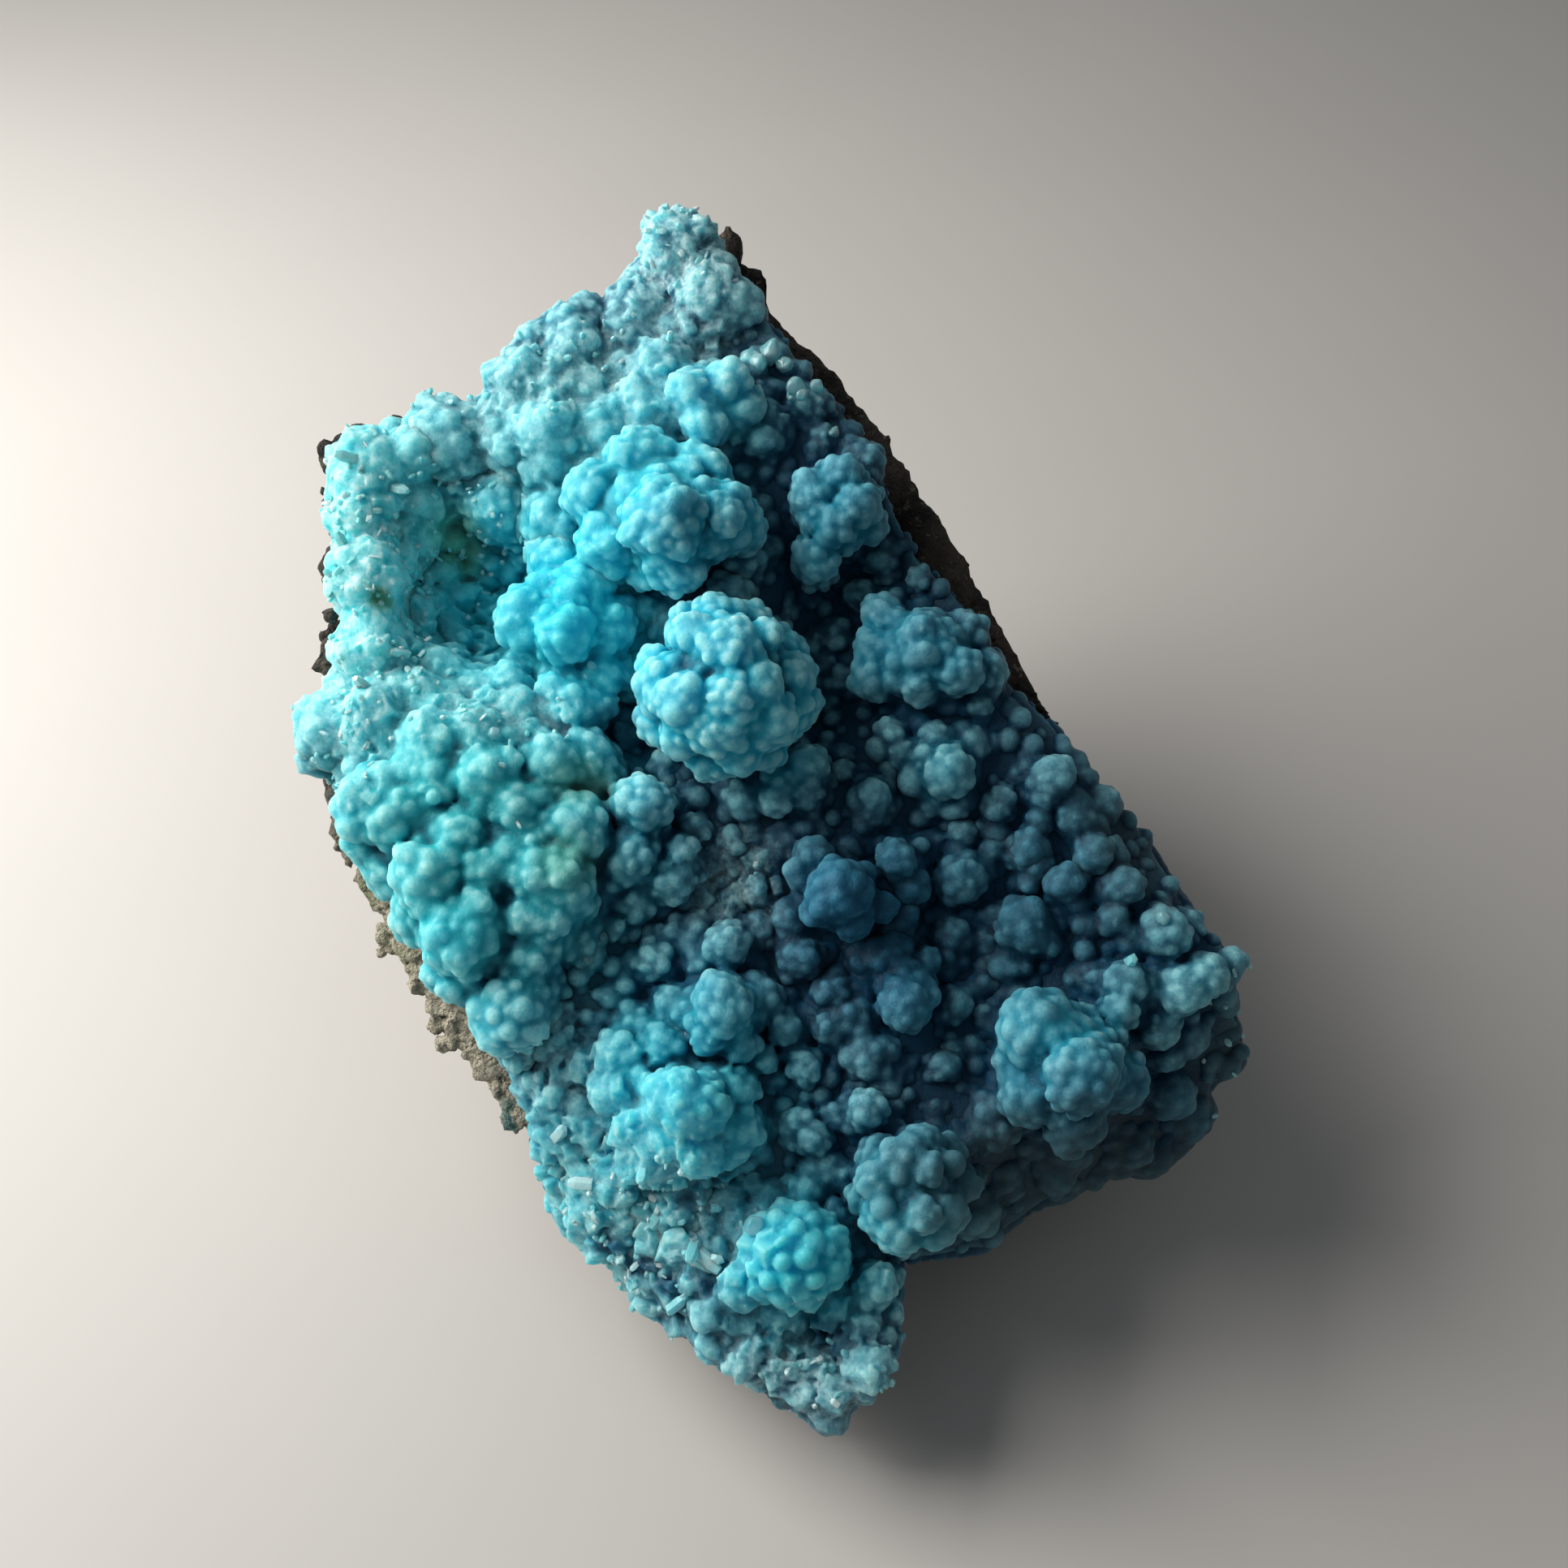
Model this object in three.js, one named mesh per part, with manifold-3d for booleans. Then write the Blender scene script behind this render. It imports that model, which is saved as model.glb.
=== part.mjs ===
// Gibbsite specimen: a blue-green crust of grown-together balls on a wedge of dark host rock.
// Millimetres, +Z up. The origin is on the resting surface, under the middle of the specimen.
//
// The crusted face leans back from the resting surface. Places on it are given in face
// millimetres: across (to the right), up (up the slope) and out (away from the rock).

import * as THREE from 'three';
import { ConvexGeometry } from 'three/addons/geometries/ConvexGeometry.js';
import { mergeVertices } from 'three/addons/utils/BufferGeometryUtils.js';
import Module from 'manifold-3d';

const wasm = await Module();
wasm.setup();

// ---- Driving dimensions ----

const FACE_LEAN = 31.2; // degrees between the crusted face and the resting surface
const FACE_HEIGHT = 23.4; // height of the face's zero point above the resting surface
const CRUST_THICKNESS = 2.6; // between the balls
const CONTACT_GAP = 0.3; // between the two solids
const CONTACT_SHARE = 0.8; // how much of the floor's relief the surface between them follows
const FLOOR_CELL = 3.8; // grid of the crust's floor
const CONTACT_CELL = 7; // grid of the surface between crust and rock
const PLATE = { across: 64, up: 82, depth: 50, middle: [-1, 3] }; // what the floor is cut from
const LEAST_ROUND_BALL = 0.85; // smaller ones have flat facets
const FACETS_BY_RADIUS = 0.76;
// How far a ball's middle is over the floor, as a share of its radius.
const RISE = { lobe: 0.1, smallBall: 0.45, softLump: -0.25 };
const LOBE_SEAT = 0.8; // how far a lobe's middle is from the core's, by the core's radius
const LUMP_SPREAD = 1.7; // lumps cover a ball from its top down to this share of its radius
const FINEST_FORM = 0.3; // what is smaller than this is left out
const GOLDEN_ANGLE = Math.PI * (3 - Math.sqrt(5));

const CRUST_EDGE = [
  [-6.3, 39.2], [-3.9, 36.6], [-1.8, 33.4], [0.9, 29.8], [3.4, 27.3], [4.8, 25], [6.3, 21.4],
  [8.2, 17.4], [11.3, 14.1], [12.7, 11.9], [13.8, 9.8], [16.1, 7.6], [18.6, 3.9], [21.4, 1.3],
  [24.1, -3.8], [26.7, -7], [26.4, -8.9], [27.9, -12.7], [25.6, -14.3], [25.4, -16.8],
  [22.4, -19.3], [19.2, -19.2], [15, -21.4], [11.7, -23.5], [7, -24.1], [6.4, -28.5],
  [4.7, -31.1], [2.7, -33.4], [-1.9, -30.5], [-7.4, -27.6], [-12.3, -23.1], [-14.4, -19.6],
  [-14.7, -15.9], [-16.2, -12.7], [-19.1, -8.7], [-22.3, -4.2], [-25, 0.1], [-26.6, 3.9],
  [-28.5, 4.6], [-28.6, 6.8], [-27.4, 8.8], [-26.4, 12.3], [-27.1, 16.7], [-27.6, 20.8],
  [-27.2, 23.8], [-24.4, 25.3], [-18.1, 27.2], [-16.8, 30], [-14.6, 32.9], [-11.8, 33.6],
  [-11, 32.7], [-8.5, 36], [-7.6, 37.9],
];

// Swells and hollows of the crust's floor: place, half sizes, turn in degrees and height.
const FLOOR_FORMS = [
  { name: 'left mound', at: [-18.4, 0.2], half: [7.8, 9.8], turn: 12, height: 3.2 },
  { name: 'glassy pit', at: [-18.2, 15.6], half: [4.4, 5.6], turn: 0, height: -5.2 },
  { name: 'left corner', at: [-25, 19], half: [2.6, 6], turn: 0, height: 1.4 },
  { name: 'upper swell', at: [-12, 24], half: [6, 6], turn: 0, height: 1.2 },
  { name: 'top ridge', at: [-5.5, 35], half: [2.2, 5], turn: 10, height: 1.2 },
  { name: 'middle valley', at: [2.5, 12], half: [4, 7.5], turn: -20, height: -3.6 },
  { name: 'left valley', at: [-9.5, 7.5], half: [3.4, 2.4], turn: -30, height: -3 },
  { name: 'right valley', at: [11, -5], half: [6, 8], turn: 30, height: -1.6 },
  { name: 'lower hollow', at: [2, -27.5], half: [2, 2], turn: 0, height: -2 },
];

// Stretches where the floor falls away towards the edge, with the outer side on the left.
const FALLING_EDGES = [
  { name: 'left corner', from: [-26.5, 3], to: [-25, 24.5], fall: 0.5 },
  { name: 'top left', from: [-25, 24], to: [-7, 36.5], fall: 0.6 },
  { name: 'upper right', from: [-4, 36], to: [12, 11], fall: 0.5 },
  { name: 'right rim', from: [12.4, 9], to: [23.5, -6.5], fall: 0.7 },
  { name: 'skirt', from: [24.5, -7.5], to: [4.6, -21.4], fall: 0.8 },
  { name: 'broken face', from: [0, -30.5], to: [-12, -16.5], fall: 0.9 },
  { name: 'lower left', from: [-13, -13.5], to: [-24.5, 4.5], fall: 0.5 },
];

// Balls built of lobes: place of the core, its radius and its lobes. A lobe has its place from
// the core and its radius, and sits on the core or, past it, on the floor. A ball with no list
// has lumps all over.
const BALLS = [
  { name: 'centre ball', core: [-3.5, 8.6, 3.6], radius: 4.5, lumps: 46, lump: 1.25 },
  { name: 'lower ball', core: [7.4, -19.6, 1.8], radius: 3.1, lumps: 30, lump: 1 },
  { name: 'bottom ball', core: [0.2, -23.2, 1.2], radius: 3, lumps: 34, lump: 0.85 },
  {
    name: 'upper ball',
    core: [-6.8, 18.7, 2.4],
    radius: 3.8,
    lobes: [
      [-4.4, 1.5, 1.7], [-1.6, 3.4, 2.1], [1.8, 2.7, 1.7], [-2.9, -1.2, 2.1], [0.1, -0.9, 2.3],
      [2.8, -0.3, 2.3], [0.5, -2.8, 1.9], [-1.5, -3.4, 0.9], [4.3, -0.7, 1.3],
    ],
  },
  {
    name: 'top middle ball',
    core: [-4.4, 26.2, 1],
    radius: 2.8,
    lobes: [[-1.1, 0.3, 1.3], [1, 0.8, 1.3], [-0.2, -1.6, 1.4], [2, -0.4, 1.2], [-1.9, -0.8, 1]],
  },
  {
    name: 'right upper ball',
    core: [3, 20.1, 0.8],
    radius: 2.7,
    lobes: [[-1.4, 0.3, 1.2], [0.3, 1.3, 1.2], [1.2, -0.4, 1.4], [0, -1.6, 1.2], [-1.1, -3.2, 1.4]],
  },
  {
    name: 'east ball',
    core: [8.3, 11.1, 0.2],
    radius: 3.2,
    lobes: [
      [-2.6, 2.4, 1.2], [-2.9, 0.4, 1.3], [-3.1, -1.3, 1.3], [-0.4, 1.1, 0.8], [-0.9, -0.6, 0.7],
      [-0.6, -1.9, 0.9], [2.2, 1.4, 1.4], [1.8, -1.1, 1.5], [3.6, -1.1, 1.4], [1.2, -3, 0.7],
      [3.1, -3, 0.9],
    ],
  },
  {
    name: 'south east ball',
    core: [8.8, 4.7, -0.6],
    radius: 2.4,
    lobes: [[-1.9, 0.8, 1], [0.6, -0.7, 1.4], [0, -2.1, 1], [-0.1, 1.6, 0.9], [1.9, 0.1, 0.7]],
  },
  {
    name: 'ball under the centre ball',
    core: [-0.3, 3.6, 0.2],
    radius: 1.7,
    lobes: [[-2.1, -1.1, 1.2], [-0.2, -1.2, 1], [1.4, 0.8, 1.4], [1.2, -0.7, 1.2]],
  },
  { name: 'kidney', core: [-8.3, 0.9, 1.4], radius: 1.7, lobes: [[0.1, 1, 1.7], [-0.5, -2, 1.7]] },
  {
    name: 'kidney side',
    core: [-6.4, -1.1, 0.4],
    radius: 1.7,
    lobes: [[1.2, 1.9, 0.9], [0.5, 0.3, 0.9], [-0.2, -1.2, 1.3], [-2.1, -2.4, 1.2]],
  },
  {
    name: 'tall ball',
    core: [3.2, -3.2, 1.2],
    radius: 2.2,
    lobes: [[-1.6, 2.3, 1], [-2.3, 1.3, 0.9], [1.4, 1.4, 0.7], [2.3, -0.7, 0.9], [-0.1, 0.1, 1.7]],
  },
  { name: 'pair', core: [0.5, -5.5, 0.2], radius: 1, lobes: [[-0.1, 0.9, 1.1], [0.4, -1.2, 1.3]] },
  { name: 'row', core: [-4, -6.4, 0.2], radius: 1.4, lobes: [[0.7, 0.4, 1.3], [-1.4, 0.5, 0.9]] },
  {
    name: 'middle cluster',
    core: [-3.7, -9.9, 0.8],
    radius: 2.7,
    lobes: [
      [0.3, 0.4, 1.6], [2.3, 0.9, 1.3], [-2.5, 0.5, 1.2], [-3, -1.6, 1.6], [1.2, -1.6, 1],
      [3.7, -0.7, 1], [2.5, -2.5, 0.8],
    ],
  },
  {
    name: 'middle right cluster',
    core: [3.7, -10.1, -0.4],
    radius: 1.9,
    lobes: [[-0.9, 1.4, 1.2], [0.7, 1.6, 0.9], [-1.2, -0.5, 1], [0.9, -2.1, 1.3], [2.1, -1.8, 0.9]],
  },
  {
    name: 'far cluster',
    core: [7, -8.3, -0.2],
    radius: 2,
    lobes: [[-0.9, 1.6, 1.4], [1.2, 1.4, 0.9], [-0.1, -1, 1.5], [0.1, -0.8, 0.8]],
  },
  {
    name: 'right lower ball',
    core: [16.1, -12.8, 1.2],
    radius: 3.5,
    lobes: [
      [-1.8, 1.9, 2.2], [1.1, 2.6, 0.8], [2.9, 3.1, 1], [2.4, 1.7, 0.9], [0.3, -0.4, 1.9],
      [3, -1, 1.4], [3.8, 0.3, 0.6], [-2.3, -1.5, 1.7], [0.2, -3.1, 1.6], [-3.1, 0.3, 1.1],
    ],
  },
  {
    name: 'bottom left ball',
    core: [-5.5, -15.6, 1.2],
    radius: 3.3,
    lobes: [
      [-3.7, 3.4, 1.4], [-4.1, 1.4, 1.4], [-2.8, 2, 1.1], [0.3, 0.7, 1.8], [2.7, -0.7, 1.6],
      [0.8, -2, 1.3], [-2.5, -1.1, 1.6], [-2, -2.9, 1.1], [2.5, 1.6, 1.4],
    ],
  },
  {
    name: 'cyan cluster',
    core: [-12.8, 13.2, 0],
    radius: 3.2,
    lobes: [
      [-2.2, 0, 1.7], [0.3, -1.3, 1.6], [2.5, -0.1, 1.7], [2, -3.2, 1.4], [-0.4, -3.2, 1.2],
      [-0.5, 3.7, 1.7], [1.1, 1.9, 1.6],
    ],
  },
];

// Single small balls on the floor: across, up and radius.
const SMALL_BALLS = [
  [5.2, 2.5, 1.6], [6.6, -1, 1.3], [7.3, -2.5, 1.1], [1.9, 16.9, 1.4], [10.6, 0.3, 1],
  [12, -0.3, 1], [10.3, -2, 1.5], [14.1, -0.1, 1.2], [15.8, 3.8, 1.2], [15, 1.8, 1],
  [17.9, -0.6, 1.2], [16.4, -2.2, 1.2], [19.7, -2.7, 1.2], [14, -4.8, 1.6], [15.2, -5.9, 1],
  [22, -5.3, 1.4], [19.5, -8.3, 1.4], [22.6, -8.5, 1.4], [24, -7.6, 1.3], [-9.2, -7.5, 1],
  [-9.2, -9.8, 1], [-7.1, -6.9, 1.2], [1.1, -12.7, 1], [4.3, -15.4, 1.8], [1.6, -17, 1],
  [-2.3, -24.9, 1.4], [5, -25, 1.3], [4.9, -29.5, 1.3],
];

// Lobes grown together on the left mound: across, up and radius.
const MOUND_LOBES = [
  [-21.8, 1.3, 2.2], [-20, 4.6, 1.9], [-18.3, 0.1, 2], [-15.6, -1.4, 2], [-23, -2.2, 1.8],
  [-18, -5.3, 2.5], [-18.9, -8, 1.9], [-14, -4.6, 2], [-13.5, 4.1, 1.9], [-16.4, 2.9, 2],
];

// Broad soft lumps of the upper crust: across, up and radius.
const SOFT_LUMPS = [
  [-13.6, 24.6, 2.3], [-17, 21, 2.3], [-9.6, 25.2, 1.5], [-13.2, 19.3, 2], [-12.9, 31, 2],
  [-9, 32.4, 1.9], [-15.6, 28, 2], [-6.4, 29.8, 1.6], [-6.6, 36.6, 2], [-4.6, 33, 1.9],
  [-20.5, 24.5, 2.4], [-24.6, 22, 2.2], [-24.8, 16, 2.2], [-24.4, 11.5, 2.2], [-26.6, 6.9, 2.1],
  [1.4, 26.5, 1.4], [4.6, 23, 1.4],
];

// The host rock: its top corners in face millimetres, and its flat underside.
const ROCK_TOP = [
  [-4.6, 38.8], [-3.1, 38], [0.5, 33.6], [4.5, 29.3], [7.4, 24.9], [9.4, 20], [12.3, 16.2],
  [14.9, 12.6], [15.8, 10], [22.6, -1.8], [24.4, -11.5], [20, -16.5], [7, -20.5], [-13.5, -19],
  [-17.3, -14.6], [-20.1, -11], [-23.3, -6], [-27.6, 1.6], [-27.6, 7.6], [-26.6, 20.6],
  [-24.6, 22.6],
];
const ROCK_BLOCKS = [ // place in space and radius
  [-18, 12, 21, 7.5], [-9, 25, 25, 7], [4, 23, 20, 7.5], [12, 12, 15, 7], [15, -1, 8, 6],
  [-16, -2, 12, 6], [-13, 17, 8, 8], [3, 24, 7, 7], [15, 8, 5, 6.5], [2, -8, 6, 5], [-9, -8, 8, 5],
];
const ROCK_RIND_DEPTH = 2.2; // from the face to the rock's widest line
const ROCK_SHOULDER = { share: 0.97, out: 3 }; // the body before the crust's side is cut off
const ROCK_WAIST = [[-22, 6], [-19, 21], [-6, 31], [9, 25], [19, 7], [14, -7], [-2, -12], [-15, -6]];
const WAIST_HEIGHT = 9;
const ROCK_BASE = [[-17, 2], [-15, 18], [-5, 27], [7, 22], [16, 8], [10, -5], [-3, -7], [-12, -4]];
const SPUR = {
  outline: [[5, -24], [5.2, -28], [2.4, -31.8], [-2, -29.4], [-7.2, -26.4], [-12, -21.8]],
  depth: 3.2,
  thickness: 1.5,
  root: [[-8, -4], [4, -6], [-2, 0]],
  rootHeight: 6,
};

// Bare rock with crumbs along it, beside the crust.
const BARE_EDGES = [
  {
    name: 'upper right',
    run: [[-3.6, 38], [0.5, 33.6], [4.5, 29.3], [7.4, 24.9], [9.4, 20], [12.3, 16.2], [15.8, 10]],
    seed: 23,
  },
  { name: 'lower left', run: [[-28.6, 3], [-23.3, -6], [-20.1, -11], [-14, -18.6]], seed: 5 },
];
const CRUMBS = { spacing: 3.2, radius: [0.8, 1.7], depth: [-0.3, 1.6] };

// ---- Small tools ----

const radians = (degrees) => (degrees * Math.PI) / 180;
const mix = (low, high, share) => low + (high - low) * share;
const faceToSpace = new THREE.Matrix4()
  .makeRotationX(radians(FACE_LEAN))
  .setPosition(0, 0, FACE_HEIGHT);

// A repeatable stream of numbers from 0 to 1.
function randomStream(seed) {
  let state = seed;
  return () => {
    state = (state * 1664525 + 1013904223) % 4294967296;
    return state / 4294967296;
  };
}

function toSolid(geometry, nearness = 1e-4) {
  const bare = geometry.index ? geometry.toNonIndexed() : geometry.clone();
  bare.deleteAttribute('normal');
  bare.deleteAttribute('uv');
  const merged = mergeVertices(bare, nearness);
  const mesh = new wasm.Mesh({
    numProp: 3,
    vertProperties: merged.attributes.position.array,
    triVerts: Uint32Array.from(merged.index.array),
  });
  return new wasm.Manifold(mesh);
}

function toGeometry(solid) {
  const mesh = solid.getMesh();
  const geometry = new THREE.BufferGeometry();
  geometry.setAttribute('position', new THREE.BufferAttribute(mesh.vertProperties, 3));
  geometry.setIndex(new THREE.BufferAttribute(mesh.triVerts, 1));
  geometry.computeVertexNormals();
  return geometry;
}

// The solid's outer shell, without slivers and the closed pockets between its balls.
function outerShell(solid) {
  let shells = [solid];
  do {
    shells = toSolid(toGeometry(shells[0]), 1e-3).decompose();
    shells.sort((a, b) => b.volume() - a.volume());
  } while (shells.length > 1);
  return shells[0];
}

function joinAll(solids) {
  return wasm.Manifold.union(solids);
}

// ---- The crust's floor ----

function swell(form, across, up) {
  const turn = radians(form.turn);
  const x = across - form.at[0];
  const y = up - form.at[1];
  const along = (x * Math.cos(turn) + y * Math.sin(turn)) / form.half[0];
  const over = (y * Math.cos(turn) - x * Math.sin(turn)) / form.half[1];
  const distance = Math.hypot(along, over);
  return form.height * Math.exp(-(distance ** 3));
}

function fallAtEdge(edge, across, up) {
  const run = new THREE.Vector2(edge.to[0] - edge.from[0], edge.to[1] - edge.from[1]);
  const length = run.length();
  run.divideScalar(length);
  const x = across - edge.from[0];
  const y = up - edge.from[1];
  const along = x * run.x + y * run.y;
  const beyond = Math.max(0, y * run.x - x * run.y);
  const near = THREE.MathUtils.smoothstep(along, -3, 1);
  const far = THREE.MathUtils.smoothstep(length - along, -3, 1);
  return -edge.fall * Math.min(beyond, 7) * near * far;
}

function floorHeight(across, up) {
  const swells = FLOOR_FORMS.reduce((sum, form) => sum + swell(form, across, up), 0);
  const falls = FALLING_EDGES.reduce((sum, edge) => sum + fallAtEdge(edge, across, up), 0);
  return swells + falls;
}

// Where the crust meets the rock: the floor's broad shape, one crust thickness lower.
function contactHeight(across, up) {
  return floorHeight(across, up) * CONTACT_SHARE - CRUST_THICKNESS;
}

// A slab over the whole face whose top follows a height function.
function faceSlab(top, cell) {
  const cellsAcross = Math.round(PLATE.across / cell);
  const cellsUp = Math.round(PLATE.up / cell);
  const slab = new THREE.BoxGeometry(PLATE.across, PLATE.up, 2, cellsAcross, cellsUp, 1);
  slab.translate(PLATE.middle[0], PLATE.middle[1], 0);
  const places = slab.attributes.position;
  for (let i = 0; i < places.count; i += 1) {
    const isTop = places.getZ(i) > 0;
    places.setZ(i, isTop ? top(places.getX(i), places.getY(i)) : -PLATE.depth);
  }
  return toSolid(slab);
}

function edgePillar() {
  const outline = new THREE.Shape(CRUST_EDGE.map(([across, up]) => new THREE.Vector2(across, up)));
  const pillar = new THREE.ExtrudeGeometry(outline, { depth: PLATE.depth, bevelEnabled: false });
  pillar.translate(0, 0, -PLATE.depth / 2);
  return toSolid(pillar);
}

// ---- Balls ----

// A ball that bulges with its lobes: each point lies on the farthest sphere in its direction.
function lobedBall(middle, spheres, ball) {
  const places = ball.attributes.position;
  const way = new THREE.Vector3();
  for (let i = 0; i < places.count; i += 1) {
    way.fromBufferAttribute(places, i).normalize();
    let reach = 0;
    for (const sphere of spheres) {
      const along = sphere.at.dot(way);
      const inside = sphere.radius ** 2 - sphere.at.lengthSq() + along ** 2;
      if (inside > 0) reach = Math.max(reach, along + Math.sqrt(inside));
    }
    way.multiplyScalar(reach);
    places.setXYZ(i, middle[0] + way.x, middle[1] + way.y, middle[2] + way.z);
  }
  return toSolid(ball);
}

function lobesOf(ball) {
  const seat = ball.radius * LOBE_SEAT;
  return ball.lobes.map(([across, up, radius]) => {
    const onCore = Math.sqrt(Math.max(0, seat ** 2 - across ** 2 - up ** 2));
    const onFloor = floorHeight(ball.core[0] + across, ball.core[1] + up) - ball.core[2];
    const out = Math.max(onCore, onFloor + RISE.lobe * radius);
    return { at: new THREE.Vector3(across, up, out), radius };
  });
}

function lumpsOf(ball) {
  const random = randomStream(ball.lumps);
  return Array.from({ length: ball.lumps }, (_, i) => {
    const out = 1 - (LUMP_SPREAD * (i + 0.5)) / ball.lumps;
    const side = Math.sqrt(1 - out ** 2);
    const angle = i * GOLDEN_ANGLE;
    const at = new THREE.Vector3(side * Math.cos(angle), side * Math.sin(angle), out);
    at.multiplyScalar(ball.radius * mix(0.8, 0.94, random()));
    return { at, radius: ball.lump * mix(0.85, 1.15, random()) };
  });
}

function roundShape(radius) {
  if (radius < LEAST_ROUND_BALL) return new THREE.DodecahedronGeometry(1);
  return new THREE.IcosahedronGeometry(1, Math.round(radius * FACETS_BY_RADIUS));
}

function ballSolid(ball) {
  const core = { at: new THREE.Vector3(), radius: ball.radius };
  const spheres = [core, ...(ball.lobes ? lobesOf(ball) : lumpsOf(ball))];
  return lobedBall(ball.core, spheres, roundShape(ball.radius));
}

// A single ball sunk partly in the floor.
function floorBall([across, up, radius], rise) {
  const middle = [across, up, floorHeight(across, up) + radius * rise];
  return lobedBall(middle, [{ at: new THREE.Vector3(), radius }], roundShape(radius * 0.7));
}

function crust() {
  const slab = faceSlab(floorHeight, FLOOR_CELL).intersect(edgePillar());
  const underCrust = faceSlab(contactHeight, CONTACT_CELL);
  const balls = [
    ...BALLS.map(ballSolid),
    ...SMALL_BALLS.map((ball) => floorBall(ball, RISE.smallBall)),
    ...MOUND_LOBES.map((lobe) => floorBall(lobe, RISE.lobe)),
    ...SOFT_LUMPS.map((lump) => floorBall(lump, RISE.softLump)),
  ];
  const grown = joinAll([slab, ...balls]).simplify(FINEST_FORM);
  return grown.subtract(underCrust);
}

// ---- Host rock ----

function onFace(across, up, out) {
  return new THREE.Vector3(across, up, out).applyMatrix4(faceToSpace);
}

function atHeight(outline, height) {
  return outline.map(([x, y]) => new THREE.Vector3(x, y, height));
}

function hullOf(points) {
  return toSolid(new ConvexGeometry(points));
}

function rockBody() {
  const { share, out } = ROCK_SHOULDER;
  return hullOf([
    ...ROCK_TOP.map(([across, up]) => onFace(across, up, -ROCK_RIND_DEPTH)),
    ...ROCK_TOP.map(([across, up]) => onFace(across * share, up * share, out)),
    ...atHeight(ROCK_WAIST, WAIST_HEIGHT),
    ...atHeight(ROCK_BASE, 0),
  ]);
}

// The thin tongue of rock that carries the crust's lower tip.
function rockSpur() {
  const top = SPUR.outline.map(([across, up]) => onFace(across, up, -SPUR.depth));
  const under = top.map((point) => point.clone().setZ(point.z - SPUR.thickness));
  return hullOf([...top, ...under, ...atHeight(SPUR.root, SPUR.rootHeight)]);
}

function rockBlocks() {
  return ROCK_BLOCKS.map(([x, y, z, radius], i) => {
    const block = new THREE.DodecahedronGeometry(radius);
    block.rotateX(i);
    block.rotateZ(2 * i);
    return toSolid(block.translate(x, y, z));
  });
}

function crumbsAlong(edge) {
  const random = randomStream(edge.seed);
  const path = new THREE.Path(edge.run.map(([across, up]) => new THREE.Vector2(across, up)));
  const places = path.getSpacedPoints(Math.round(path.getLength() / CRUMBS.spacing));
  return places.map((place) => {
    const crumb = new THREE.IcosahedronGeometry(mix(...CRUMBS.radius, random()), 0);
    crumb.rotateX(random() * Math.PI);
    crumb.rotateY(random() * Math.PI);
    const depth = ROCK_RIND_DEPTH + mix(...CRUMBS.depth, random());
    return toSolid(crumb.translate(...onFace(place.x, place.y, -depth)));
  });
}

function rock() {
  const gapHeight = (across, up) => contactHeight(across, up) - CONTACT_GAP;
  const room = faceSlab(gapHeight, CONTACT_CELL)
    .transform(faceToSpace.elements)
    .trimByPlane([0, 0, 1], 0);
  const crumbs = BARE_EDGES.flatMap(crumbsAlong);
  return joinAll([rockBody(), rockSpur(), ...rockBlocks(), ...crumbs]).intersect(room);
}

// ---- The specimen ----

const leaningCrust = crust().transform(faceToSpace.elements);
const standingRock = rock();
const bounds = joinAll([leaningCrust, standingRock]).boundingBox();
const toMiddle = [0, 1].map((axis) => -(bounds.min[axis] + bounds.max[axis]) / 2);
const crustSolid = outerShell(leaningCrust.translate([...toMiddle, 0]));
const rockSolid = outerShell(standingRock.translate([...toMiddle, 0]));

function namedMesh(name, solid, material) {
  const mesh = new THREE.Mesh(toGeometry(solid), new THREE.MeshStandardMaterial(material));
  mesh.name = name;
  return mesh;
}

const specimen = new THREE.Group();
specimen.add(
  namedMesh('matrix_rock', rockSolid, { color: 0x3a352e, roughness: 0.95, metalness: 0 }),
  namedMesh('gibbsite_crust', crustSolid, { color: 0x3fb4c4, roughness: 0.5, metalness: 0 }),
);

export default specimen;
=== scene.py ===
"""Gibbsite specimen: a blue-green crust of grown-together balls on a wedge of dark host rock.

Places are in millimetres. On the crusted face they are across (to the right), up (up the slope)
and out (away from the rock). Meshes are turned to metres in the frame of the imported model.
"""

import itertools
import math

import bpy
import numpy as np
import openvdb
from bpy.props import FloatProperty, FloatVectorProperty, PointerProperty
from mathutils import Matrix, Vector
from mathutils.bvhtree import BVHTree


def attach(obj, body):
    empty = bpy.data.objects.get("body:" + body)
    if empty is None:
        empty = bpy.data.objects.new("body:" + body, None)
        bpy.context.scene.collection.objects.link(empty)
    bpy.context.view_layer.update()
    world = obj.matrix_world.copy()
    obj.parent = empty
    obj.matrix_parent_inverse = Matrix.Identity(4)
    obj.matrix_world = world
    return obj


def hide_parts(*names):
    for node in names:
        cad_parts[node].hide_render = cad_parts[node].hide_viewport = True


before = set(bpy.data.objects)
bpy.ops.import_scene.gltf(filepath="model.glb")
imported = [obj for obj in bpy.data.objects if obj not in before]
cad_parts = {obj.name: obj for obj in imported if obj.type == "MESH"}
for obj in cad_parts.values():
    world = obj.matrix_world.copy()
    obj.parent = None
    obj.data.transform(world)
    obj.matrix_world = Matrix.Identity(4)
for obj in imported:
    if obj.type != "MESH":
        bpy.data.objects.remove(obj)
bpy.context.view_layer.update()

bl_info = {
    "name": "Gibbsite specimen",
    "version": (1, 0, 0),
    "blender": (4, 5, 0),
    "location": "View3D > Sidebar > Specimen",
    "description": "Builds a crusted mineral specimen, its grains and its stage",
    "category": "Object",
}

# ---- Driving dimensions ----

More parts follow.
